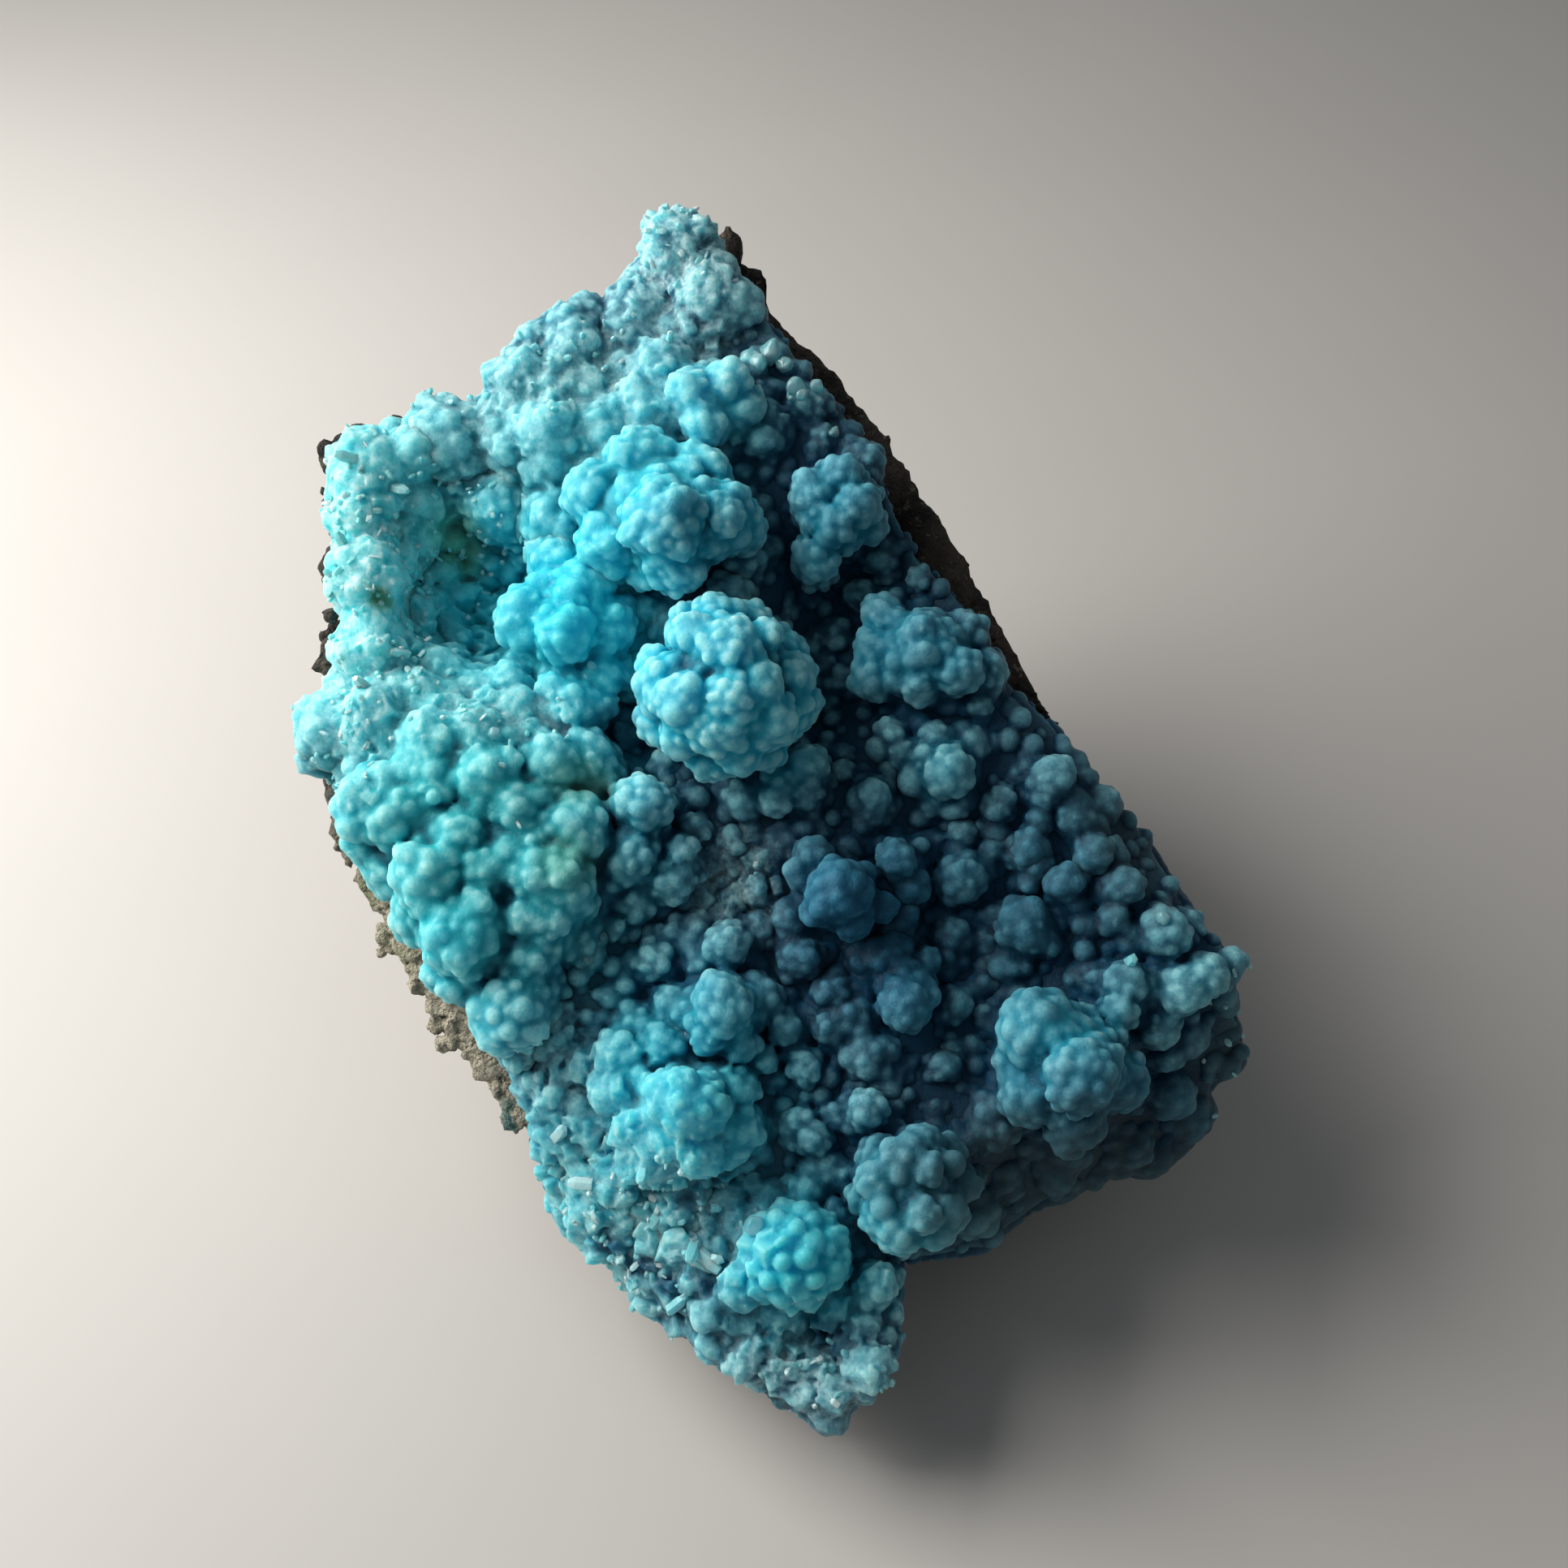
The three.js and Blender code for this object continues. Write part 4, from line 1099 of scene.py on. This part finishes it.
def grow_grains(name, skins, material):
    """Clear round grains that sit on the crust."""
    points = np.concatenate([skin[0] for skin in skins])
    parts = []
    for across, up, radius in CLEAR_GRAINS:
        middle = points[nearest_top(points, across, up)] + (0, 0, GRAINS["rise"] * radius)
        field = Field(middle - radius, middle + radius, radius / GRAINS["cells"])
        field.add_ball(middle, radius, GRAINS["seam"])
        skin, faces = field.skin()
        uneven = (GRAINS["uneven"] * radius, radius * GRAINS["wave"], SEEDS["grains"])
        parts.append((shaken(skin, [uneven]), faces))
    points, faces = joined(parts)
    return mesh_object(name, to_space(points), faces, {}, material)


def rock_triangles():
    """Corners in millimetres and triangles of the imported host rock."""
    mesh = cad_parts["matrix_rock"].data
    mesh.calc_loop_triangles()
    corners = np.zeros(len(mesh.vertices) * 3, np.float32)
    mesh.vertices.foreach_get("co", corners)
    triangles = np.zeros(len(mesh.loop_triangles) * 3, np.int32)
    mesh.loop_triangles.foreach_get("vertices", triangles)
    return corners.reshape(-1, 3) / MM, triangles.reshape(-1, 3)


def crumb_balls(random):
    """Balls on the rock just outside the bare edges of the crust, and the dark bits."""
    corners, triangles = rock_triangles()
    tree = BVHTree.FromPolygons(corners.tolist(), triangles.tolist())
    origin, inward = to_space(np.array([(0, 0, 0), (0, 0, -1)], float))
    down = Vector(inward - origin).normalized()
    places = scattered(CRUMBS["spans"], CRUMBS["spacing"], CRUMBS["jitter"], random)
    balls = []
    for x, y, beyond in zip(*places):
        if not CRUMBS["from"] < beyond < CRUMBS["to"] or bare_distance(x, y) > CRUMBS["reach"]:
            continue
        start = to_space(np.array([(x, y, CRUMBS["ray from"])]))[0] / MM
        hit = tree.ray_cast(Vector(start), down)[0]
        if hit is None:
            continue
        place = to_face(np.array([hit]) * MM)[0]
        smooth = x > SMOOTH_CRUMBS["from across"]
        if place[2] <= CRUMBS["deepest"] or smooth and beyond > SMOOTH_CRUMBS["to"]:
            continue
        radius = random.uniform(*(SMOOTH_CRUMBS if smooth else CRUMBS)["radius"])
        balls.append((*place[:2], place[2] - CRUMBS["sunk"] * radius, radius))
    for *place, spread in DARK_BITS:
        for _ in range(DARK_BIT["count"]):
            along, up, out = DARK_BIT["spread"]
            middle = place + random.normal(0, (along, spread * up, out))
            middle[2] -= random.uniform(0, DARK_BIT["reach"])
            balls.append((*middle, random.uniform(*DARK_BIT["radius"])))
    return ball_array(balls)


def grow_crumbs(name, cell, material):
    """Crumbly grains of the rock where the crust leaves it bare."""
    random = np.random.default_rng(SEEDS["crumbs"])
    balls = crumb_balls(random)
    left = balls[:, 0] < SMOOTH_CRUMBS["from across"]
    parts = []
    for some in (balls[left], balls[~left]):
        field = Field(*box_round(some), cell)
        for ball in some:
            if random.random() < CRUMBS["blocks"] and ball[0] < SMOOTH_CRUMBS["from across"]:
                field.add_turned_block(ball, CRUMBS["halves"], CRUMBS["block seam"], random)
            else:
                field.add_ball(ball[:3], ball[3], CRUMBS["seam"])
        points, faces = field.skin(EASE)
        parts.append((shaken(points, CRUMB_LAYERS), faces))
    points, faces = joined(parts)
    return mesh_object(name, to_space(points), faces, rock_masks(points), material)


def rock_masks(points):
    """How strongly each tint of the rock acts, fading away from the crust."""
    near = smoothstep(points[:, 2], *TINTS_FADE)
    return {name: near * values for name, values in tint_masks(ROCK_TINTS, points).items()}


def corner_normals(points, fours):
    """Each point's normal, from the faces with four corners that meet there."""
    first, second, third, fourth = (points[fours[:, corner]] for corner in range(4))
    across = np.cross(third - first, fourth - second)
    normals = np.zeros_like(points)
    for corner in range(4):
        np.add.at(normals, fours[:, corner], across)
    return normals / (np.linalg.norm(normals, axis=1, keepdims=True) + 1e-9)


def rock_relief(points):
    """How far the rock's surface is drawn in: knobs, grit and ledges, and none at the base.

    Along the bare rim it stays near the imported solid, and under the plate it never rises.
    """
    def layer(name):
        height, cell, seed = ROCK_LAYERS[name]
        return height * noise(points, cell, seed)

    rough = layer("swells") + np.abs(layer("knobs")) - ROCK["raised"]
    rough += layer("grit") + layer("grain")
    steps = layer("ledges")
    step = np.floor(steps)
    rough += ROCK["ledge"] * (step + smoothstep(steps - step, *ROCK["riser"])) + ROCK["drawn in"]
    rough *= smoothstep(points[:, 2], *ROCK["base fade"])
    across, up, out = to_face(points * MM).T
    beyond = outline_distance(across, up)
    rim = (beyond < CRUMBS["to"]) & (out > -ROCK["rim depth"])
    rough = np.where(rim, np.clip(rough, *ROCK["rim"]), rough)
    plate = (beyond < -ROCK["inside"]) & (out > floor_height(across, up) - ROCK["plate depth"])
    rough = np.where(plate, np.clip(rough, *ROCK["plate rim"]), rough)
    return np.where(plate & (beyond < -ROCK["well inside"]), ROCK["under plate"], rough)


def grow_rock(name, cell, material):
    """The host rock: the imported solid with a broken, crumbly surface."""
    corners, triangles = rock_triangles()
    low, high = corners.min(axis=0), corners.max(axis=0)
    transform = openvdb.createLinearTransform(voxelSize=cell)
    grid = openvdb.FloatGrid.createLevelSetFromPolygons(
        corners, triangles=triangles.astype(np.uint32), transform=transform
    )
    points, faces = grid.convertToQuads(isovalue=0.0)
    points = points.astype(float)
    faces = faces.astype(np.int64)[:, ::-1]
    points = points - corner_normals(points, faces) * rock_relief(points)[:, None]
    points = np.clip(points, low - ROCK["room"], high + ROCK["room"])
    points[:, 2] = np.maximum(points[:, 2], 0)
    return mesh_object(name, points * MM, faces, rock_masks(to_face(points * MM)), material)


# ---- Materials ----


class Wiring:
    """Short ways to add nodes to a tree."""

    def __init__(self, tree):
        self.tree = tree

    def feed(self, value, socket):
        if isinstance(value, bpy.types.NodeSocket):
            self.tree.links.new(value, socket)
        else:
            socket.default_value = value

    def fill(self, node, inputs):
        for key, value in inputs.items():
            self.feed(value, node.inputs[key])

    def node(self, kind, inputs=None, **settings):
        node = self.tree.nodes.new(kind)
        for key, value in settings.items():
            setattr(node, key, value)
        self.fill(node, inputs or {})
        return node

    def mask(self, name):
        return self.node("ShaderNodeAttribute", attribute_name=name).outputs["Fac"]

    def spread(self, value, low, high, start=0.0, end=1.0):
        """A value that goes smoothly from start to end as the first one goes from low to high."""
        inputs = {"Value": value, "From Min": low, "From Max": high, "To Min": start, "To Max": end}
        node = self.node("ShaderNodeMapRange", inputs, interpolation_type="SMOOTHSTEP")
        return node.outputs["Result"]

    def math(self, operation, first, second):
        return self.node("ShaderNodeMath", {0: first, 1: second}, operation=operation).outputs[0]

    def times(self, first, *others):
        for other in others:
            first = self.math("MULTIPLY", first, other)
        return first

    def blend(self, share, first, second, how="MIX"):
        inputs = {0: share, 6: first, 7: second}
        return self.node("ShaderNodeMix", inputs, data_type="RGBA", blend_type=how).outputs[2]

    def layered(self, colour, layers):
        """A colour with others laid over it, each row a share, a colour and perhaps a way."""
        for share, *over in layers:
            colour = self.blend(share, colour, *over)
        return colour

    def millimetres(self):
        inputs = {0: self.node("ShaderNodeTexCoord").outputs["Object"], 3: 1 / MM}
        return self.node("ShaderNodeVectorMath", inputs, operation="SCALE").outputs[0]

    def cloud(self, place, scale, detail=3.0, roughness=0.55):
        inputs = {"Vector": place, "Scale": scale, "Detail": detail, "Roughness": roughness}
        return self.node("ShaderNodeTexNoise", inputs).outputs["Fac"]

    def cells(self, place, scale, distance="EUCLIDEAN"):
        inputs = {"Vector": place, "Scale": scale}
        return self.node("ShaderNodeTexVoronoi", inputs, distance=distance).outputs["Distance"]

    def bump(self, inputs):
        return self.node("ShaderNodeBump", inputs).outputs["Normal"]

    def relief(self, place, pebbles, grain, depth, share):
        """A normal bumped by the shared pebbled grain."""
        group = self.node("ShaderNodeGroup", node_tree=pebble_group())
        self.fill(group, {"Place": place, "Pebbles per mm": pebbles, "Grain share": grain})
        height = group.outputs["Height"]
        return self.bump({"Strength": share, "Distance": depth * MM, "Height": height})


def pebble_group():
    """Shared relief: rounded pebbles with finer grain on them, as one height."""
    name = "pebbled grain"
    if name in bpy.data.node_groups:
        return bpy.data.node_groups[name]
    tree = bpy.data.node_groups.new(name, "ShaderNodeTree")
    for socket, way, kind in (
        ("Place", "INPUT", "NodeSocketVector"),
        ("Pebbles per mm", "INPUT", "NodeSocketFloat"),
        ("Grain share", "INPUT", "NodeSocketFloat"),
        ("Height", "OUTPUT", "NodeSocketFloat"),
    ):
        tree.interface.new_socket(socket, in_out=way, socket_type=kind)
    wiring = Wiring(tree)
    given = wiring.node("NodeGroupInput").outputs
    place, scale = given["Place"], given["Pebbles per mm"]
    pebbles = wiring.cells(place, scale)
    round_top = wiring.math("SUBTRACT", 1.0, wiring.times(pebbles, pebbles))
    grain = wiring.cloud(place, wiring.times(scale, PEBBLE_GRAIN_SCALE), 3.0, 0.6)
    height = wiring.math("ADD", round_top, wiring.times(grain, given["Grain share"]))
    wiring.node("NodeGroupOutput", {"Height": height})
    return tree


def new_material(name):
    """A material, the wiring of its nodes and its shader."""
    material = bpy.data.materials.new(name)
    material.use_nodes = True
    material.node_tree.nodes.clear()
    wiring = Wiring(material.node_tree)
    shader = wiring.node("ShaderNodeBsdfPrincipled")
    wiring.node("ShaderNodeOutputMaterial", {"Surface": shader.outputs[0]})
    return material, wiring, shader


def crust_material(colours):
    """The crust: pale tips, partly painted highlight, clear blue-green bodies, painted shade in its
    depths and low places, and frost where torn.
    """
    material, wiring, shader = new_material("crust")
    place = wiring.millimetres()
    names = (*TINT_PLACES, *HOLLOW_REACHES, "rise", "side")
    mask = {name: wiring.mask(name) for name in names}
    cloud = wiring.cloud(place, 0.5)
    fine = wiring.cloud(place, 3.5)
    rise = mask["rise"]
    # Bodies go from painted shade low down to the body colour higher up, with clearer turquoise and
    # seafoam laid over them.
    body = wiring.layered(colours.deep_shade, (
        (wiring.spread(rise, 0.0, 0.8), colours.body),
        # clearer turquoise, partly painted glow
        (mask["vivid"], colours.vivid),
        (mask["seafoam"], colours.seafoam),
    ))
    # Pale tips: partly frosted crystal, partly a painted highlight on convex places; lower down
    # they fade, a painted shade.
    pale = wiring.layered(colours.tip, (
        (mask["seafoam"], colours.seafoam_tip),
        (mask["vivid"], colours.vivid_tip),
    ))
    small_tips = wiring.spread(mask["crease"], 0.58, 0.36, 0, 0.45)
    large_tips = wiring.spread(mask["fold"], 0.56, 0.3, 0, 0.55)
    tip = wiring.times(
        wiring.math("ADD", small_tips, large_tips),
        wiring.spread(cloud, *NOISE_RANGE, 0.6, 1.0),
        wiring.spread(fine, *NOISE_RANGE, 0.7, 1.15),
        # painted glow keeps tips pale; elsewhere tips fade lower down, a painted shade
        wiring.math("MAXIMUM", mask["painted_glow"], wiring.spread(rise, -0.05, 0.35, 0.25, 1.0)),
        wiring.spread(mask["frost"], 0, 1, 1, 0.75),
    )
    # Painted shade in pockets, weaker where painted glow acts.
    shaded = wiring.times(
        wiring.spread(mask["pocket"], 0.48, 0.72, 0.0, 0.96),
        wiring.spread(mask["painted_glow"], 0, 1, 1, 0.2),
    )
    # Frost: whitish broken crystal, partly a painted glow on the left wall and upper left.
    frost = wiring.times(
        mask["frost"],
        wiring.spread(fine, *NOISE_RANGE, 0.5, 1.0),
        wiring.spread(wiring.cloud(place, 0.9), 0.35, 0.56, 0.15, 1.0),
    )
    colour = wiring.layered(body, (
        (tip, pale),
        # painted shade on the side away from the light
        (mask["painted_shade"], PAINTED_SHADE_TINT, "MULTIPLY"),
        # grey-blue skirt, its darkness partly painted shade
        (wiring.times(mask["grey"], 0.85), colours.grey),
        # painted shade in pockets
        (shaded, colours.deep_shade),
        # whitish broken crystal, partly painted glow
        (frost, colours.frost),
        (mask["ochre"], colours.ochre),
        # painted shade in cracks and gaps
        (mask["shade"], colours.deep_shade),
        # painted shade on the sides below the floor
        (mask["side"], SIDE_SHADE, "MULTIPLY"),
    ))
    gloss = wiring.math("MAXIMUM", mask["frost"], mask["vivid"])
    facets = wiring.math("SUBTRACT", 1.0, wiring.cells(place, 1.7, "CHEBYCHEV"))
    relief = wiring.relief(place, 5.0, 1.2, 0.06, 0.6)
    broken = {"Height": wiring.times(facets, mask["frost"]), "Normal": relief}
    wiring.fill(shader, {
        "Base Color": colour,
        "Roughness": wiring.spread(fine, *NOISE_RANGE, 0.34, 0.6),
        "Coat Weight": wiring.times(gloss, wiring.spread(fine, 0.45, 0.7, 0.0, 0.6)),
        "Normal": wiring.bump({"Strength": 0.6, "Distance": 0.24 * MM, **broken}),
        "Subsurface Weight": 0.9,
        "Subsurface Radius": SCATTER,
        "Subsurface Scale": 2.0 * MM,
        "Sheen Weight": 0.1,
        "Sheen Roughness": 0.5,
        "Sheen Tint": SHEEN_TINT,
        "Coat Roughness": 0.12,
        "IOR": MINERAL_IOR,
        "Specular IOR Level": 0.2,
    })
    return material


def rock_material(colours):
    """The host rock: dark and brown, with pale grains and stains near the crust."""
    material, wiring, shader = new_material("rock")
    place = wiring.millimetres()
    cloud = wiring.cloud(place, 0.22, 5.0)
    grain = wiring.cloud(place, 1.6, 5.0, 0.7)
    patch = wiring.spread(wiring.cloud(place, 0.9), 0.4, 0.6)
    weathered = wiring.times(wiring.spread(grain, 0.3, 0.52), wiring.mask("pale"))
    strewn_grains = wiring.spread(grain, 0.56, 0.74, 0, 0.5)
    colour = wiring.layered(colours.dark, (
        (wiring.spread(cloud, 0.4, 0.62), colours.brown),
        (wiring.math("MAXIMUM", weathered, strewn_grains), colours.beige),
        (wiring.times(wiring.mask("moss"), patch), colours.moss),
        (wiring.times(wiring.mask("teal"), patch), colours.teal),
    ))
    relief = wiring.relief(place, 1.5, 2.2, 0.3, 1.0)
    wiring.fill(shader, {"Base Color": colour, "Roughness": 0.85, "Normal": relief})
    return material


def crystal_material(colours):
    """Frosted crystal: whitish and half see-through."""
    material, wiring, shader = new_material("frosted crystal")
    tinted = wiring.blend(wiring.mask("seafoam"), CRYSTAL_TINT, CRYSTAL_SEAFOAM)
    white = wiring.times(
        wiring.spread(wiring.mask("pale"), 0.35, 1.0, 0.0, 0.9),
        # whiter where the frost acts, partly painted glow
        wiring.spread(wiring.mask("frost"), 0, 1, 0.5, 1),
    )
    cloud = wiring.cloud(wiring.millimetres(), 2.0)
    wiring.fill(shader, {
        "Base Color": wiring.blend(white, tinted, colours.frosted),
        "Roughness": wiring.spread(cloud, *NOISE_RANGE, 0.08, 0.4),
        "IOR": MINERAL_IOR,
        "Transmission Weight": 0.12,
        "Subsurface Weight": 0.8,
        "Subsurface Radius": SCATTER,
        "Subsurface Scale": 0.6 * MM,
    })
    return material


def clear_material():
    """Clear grains with a faint tint."""
    material, wiring, shader = new_material("clear grain")
    tone = wiring.spread(wiring.cloud(wiring.millimetres(), 1.5), 0.35, 0.65)
    tint = wiring.blend(tone, *CLEAR_TINTS)
    wiring.fill(shader, {
        "Base Color": tint, "Roughness": 0.1, "IOR": 1.5, "Transmission Weight": 0.6,
    })
    return material


def stage_material(colours):
    """The pale floor, with a faint cloudiness."""
    material, wiring, shader = new_material("pale floor")
    tone = wiring.spread(wiring.cloud(wiring.millimetres(), 0.02), *NOISE_RANGE)
    darker = (*(part * FLOOR_SHADE for part in colours.floor[:3]), 1)
    colour = wiring.blend(tone, colours.floor, darker)
    wiring.fill(shader, {"Base Color": colour, "Roughness": 0.7})
    return material


# ---- Settings ----


def colour_setting(name, description, *default):
    return FloatVectorProperty(
        name=name, description=description, default=(*default, 1), subtype="COLOR", size=4,
        min=0, max=1,
    )


def cell_setting(name, description, default, low, high):
    return FloatProperty(
        name=name, description=f"{description} in millimetres", default=default, min=low, max=high
    )


class CrustSettings(bpy.types.PropertyGroup):
    cell: cell_setting("Ball fineness", "Grid of the balls' skins", 0.172, 0.08, 0.6)
    floor_cell: cell_setting("Plate fineness", "Grid of the plate's skin", 0.26, 0.15, 0.8)
    # Tips, here and below: partly frosted crystal, partly painted highlight.
    tip: colour_setting("Tips", "Frosted tips of the balls", 0.42, 0.86, 0.915)
    body: colour_setting("Body", "Body of the balls", 0.012, 0.50, 0.66)
    # Painted shade: the colour laid in pockets, low places and cracks.
    deep_shade: colour_setting("Depths", "Deep pockets between the balls", 0.001, 0.07, 0.15)
    # Clearer turquoise, partly painted glow of light shining through.
    vivid: colour_setting("Vivid", "Clear turquoise patches", 0.002, 0.59, 0.75)
    vivid_tip: colour_setting("Vivid tips", "Tips in the turquoise patches", 0.12, 0.80, 0.95)
    seafoam: colour_setting("Seafoam", "Green-blue body of the left side", 0.02, 0.62, 0.68)
    seafoam_tip: colour_setting("Seafoam tips", "Tips of the left side", 0.41, 0.9, 0.89)
    # Grey-blue skirt; its darkness is partly painted shade.
    grey: colour_setting("Skirt", "Grey-blue translucent skirt", 0.05, 0.105, 0.125)
    # Whitish broken crystal, partly painted glow.
    frost: colour_setting("Frost", "Whitish broken crystal", 0.53, 0.94, 0.98)
    ochre: colour_setting("Ochre", "Yellow-green stains", 0.20, 0.42, 0.16)


class CrystalSettings(bpy.types.PropertyGroup):
    frosted: colour_setting("Frosted", "Whitish small crystals", 0.75, 0.95, 0.97)


class RockSettings(bpy.types.PropertyGroup):
    cell: cell_setting("Rock fineness", "Grid of the rock's skin", 0.46, 0.2, 1)
    crumb_cell: cell_setting("Crumb fineness", "Grid of the crumbs' skin", 0.2, 0.08, 1)
    dark: colour_setting("Dark", "Brown-black of the fresh rock", 0.02, 0.017, 0.015)
    brown: colour_setting("Brown", "Weathered rock", 0.085, 0.068, 0.052)
    beige: colour_setting("Beige", "Crumbly pale grains", 0.66, 0.60, 0.46)
    moss: colour_setting("Moss", "Yellow-green stain", 0.17, 0.21, 0.09)
    teal: colour_setting("Teal", "Blue-green stain", 0.04, 0.22, 0.22)


class StageSettings(bpy.types.PropertyGroup):
    floor: colour_setting("Floor", "Plain pale floor", 0.62, 0.60, 0.57)
    key_power: FloatProperty(
        name="Key light", description="Power of the soft light from the left",
        default=0.47, min=0, unit="POWER",
    )
    fill_power: FloatProperty(
        name="Fill", description="Strength of the light from all round", default=0.15, min=0
    )
    camera_height: FloatProperty(
        name="Camera height", description="Height of the camera over the floor",
        default=109.9 * MM, min=0, unit="LENGTH",
    )
    camera_back: FloatProperty(
        name="Camera distance", description="How far the camera is in front of the face's middle",
        default=68.1 * MM, min=0, unit="LENGTH",
    )
    camera_drop: FloatProperty(
        name="Camera tilt", description="How far the camera looks down",
        default=math.radians(50), unit="ROTATION",
    )
    camera_view: FloatProperty(
        name="View angle", description="Width of the camera's view",
        default=math.radians(45), unit="ROTATION",
    )


# ---- Operators ----


class SPECIMEN_OT_crust(bpy.types.Operator):
    """Builds the crust's plate and the balls that grow on it"""

    bl_idname = "specimen.crust"
    bl_label = "Crust"

    def execute(self, context):
        settings = context.scene.specimen_crust
        material = crust_material(settings)
        regions = all_balls()
        plate = grow_floor("crust_plate", regions, settings.floor_cell, material)
        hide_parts("gibbsite_crust")
        pieces = [plate]
        for region, balls in regions.items():
            pieces.append(grow_region(f"{region}_balls", balls, settings.cell, material))
        for piece in pieces:
            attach(piece, "root")
        return {"FINISHED"}


class SPECIMEN_OT_crystals(bpy.types.Operator):
    """Strews small crystals and clear grains over the crust"""

    bl_idname = "specimen.crystals"
    bl_label = "Crystals"

    def execute(self, context):
        settings = context.scene.specimen_crystals
        names = ["crust_plate", *(f"{region}_balls" for region in CLUSTERS)]
        skins = [skin_of(bpy.data.objects[name]) for name in names]
        crystals = grow_crystals("small_crystals", skins, crystal_material(settings))
        grains = grow_grains("clear_grains", skins, clear_material())
        for piece in (crystals, grains):
            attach(piece, "root")
        return {"FINISHED"}


class SPECIMEN_OT_rock(bpy.types.Operator):
    """Builds the host rock under the crust"""

    bl_idname = "specimen.rock"
    bl_label = "Host rock"

    def execute(self, context):
        settings = context.scene.specimen_rock
        material = rock_material(settings)
        rock = grow_rock("host_rock", settings.cell, material)
        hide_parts("matrix_rock")
        crumbs = grow_crumbs("rock_crumbs", settings.crumb_cell, material)
        for piece in (rock, crumbs):
            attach(piece, "root")
        return {"FINISHED"}


class SPECIMEN_OT_stage(bpy.types.Operator):
    """Builds the floor, the lights and the camera"""

    bl_idname = "specimen.stage"
    bl_label = "Stage"

    def execute(self, context):
        settings = context.scene.specimen_stage
        corners = np.array([(-1, -1, 0), (1, -1, 0), (1, 1, 0), (-1, 1, 0)], float)
        square = np.array([(0, 1, 2, 3)])
        floor = mesh_object("floor", corners, square, {}, stage_material(settings))
        add_key_light(settings.key_power)
        world = bpy.data.worlds.new("soft studio")
        world.use_nodes = True
        background = world.node_tree.nodes["Background"]
        background.inputs["Color"].default_value = SKY_COLOUR
        background.inputs["Strength"].default_value = settings.fill_power
        context.scene.world = world
        camera = bpy.data.objects.new("camera", bpy.data.cameras.new("camera"))
        context.collection.objects.link(camera)
        across, back, _ = FACE_MIDDLE * MM
        camera.location = (across, back - settings.camera_back, settings.camera_height)
        camera.rotation_euler = (math.pi / 2 - settings.camera_drop, 0, 0)
        camera.data.angle = settings.camera_view
        camera.data.clip_start = MM
        context.scene.camera = camera
        context.scene.view_settings.view_transform = "Standard"
        return {"FINISHED"}


def add_key_light(power):
    data = bpy.data.lights.new("key", "AREA")
    data.size = KEY_LIGHT["size"]
    data.energy = power
    data.color = KEY_LIGHT["colour"]
    lamp = bpy.data.objects.new("key", data)
    bpy.context.collection.objects.link(lamp)
    lamp.location = KEY_LIGHT["place"]
    way = Vector(LIGHT_AIM) - lamp.location
    lamp.rotation_euler = way.to_track_quat("-Z", "Y").to_euler()


OPERATORS = (SPECIMEN_OT_crust, SPECIMEN_OT_crystals, SPECIMEN_OT_rock, SPECIMEN_OT_stage)
SETTINGS = {
    "specimen_crust": CrustSettings,
    "specimen_crystals": CrystalSettings,
    "specimen_rock": RockSettings,
    "specimen_stage": StageSettings,
}


class SPECIMEN_PT_panel(bpy.types.Panel):
    """Lists the specimen's pieces"""

    bl_idname = "SPECIMEN_PT_panel"
    bl_label = "Gibbsite specimen"
    bl_space_type = "VIEW_3D"
    bl_region_type = "UI"
    bl_category = "Specimen"

    def draw(self, context):
        for operator in OPERATORS:
            self.layout.operator(operator.bl_idname)
        for name, group in SETTINGS.items():
            for key in group.__annotations__:
                self.layout.prop(getattr(context.scene, name), key)


def register():
    for name, group in SETTINGS.items():
        bpy.utils.register_class(group)
        setattr(bpy.types.Scene, name, PointerProperty(type=group))
    for kind in (*OPERATORS, SPECIMEN_PT_panel):
        bpy.utils.register_class(kind)


def unregister():
    for kind in (SPECIMEN_PT_panel, *reversed(OPERATORS)):
        bpy.utils.unregister_class(kind)
    for name, group in reversed(SETTINGS.items()):
        delattr(bpy.types.Scene, name)
        bpy.utils.unregister_class(group)


def main():
    register()
    for operator in OPERATORS:
        family, call = operator.bl_idname.split(".")
        getattr(getattr(bpy.ops, family), call)()


if __name__ == "__main__":
    main()
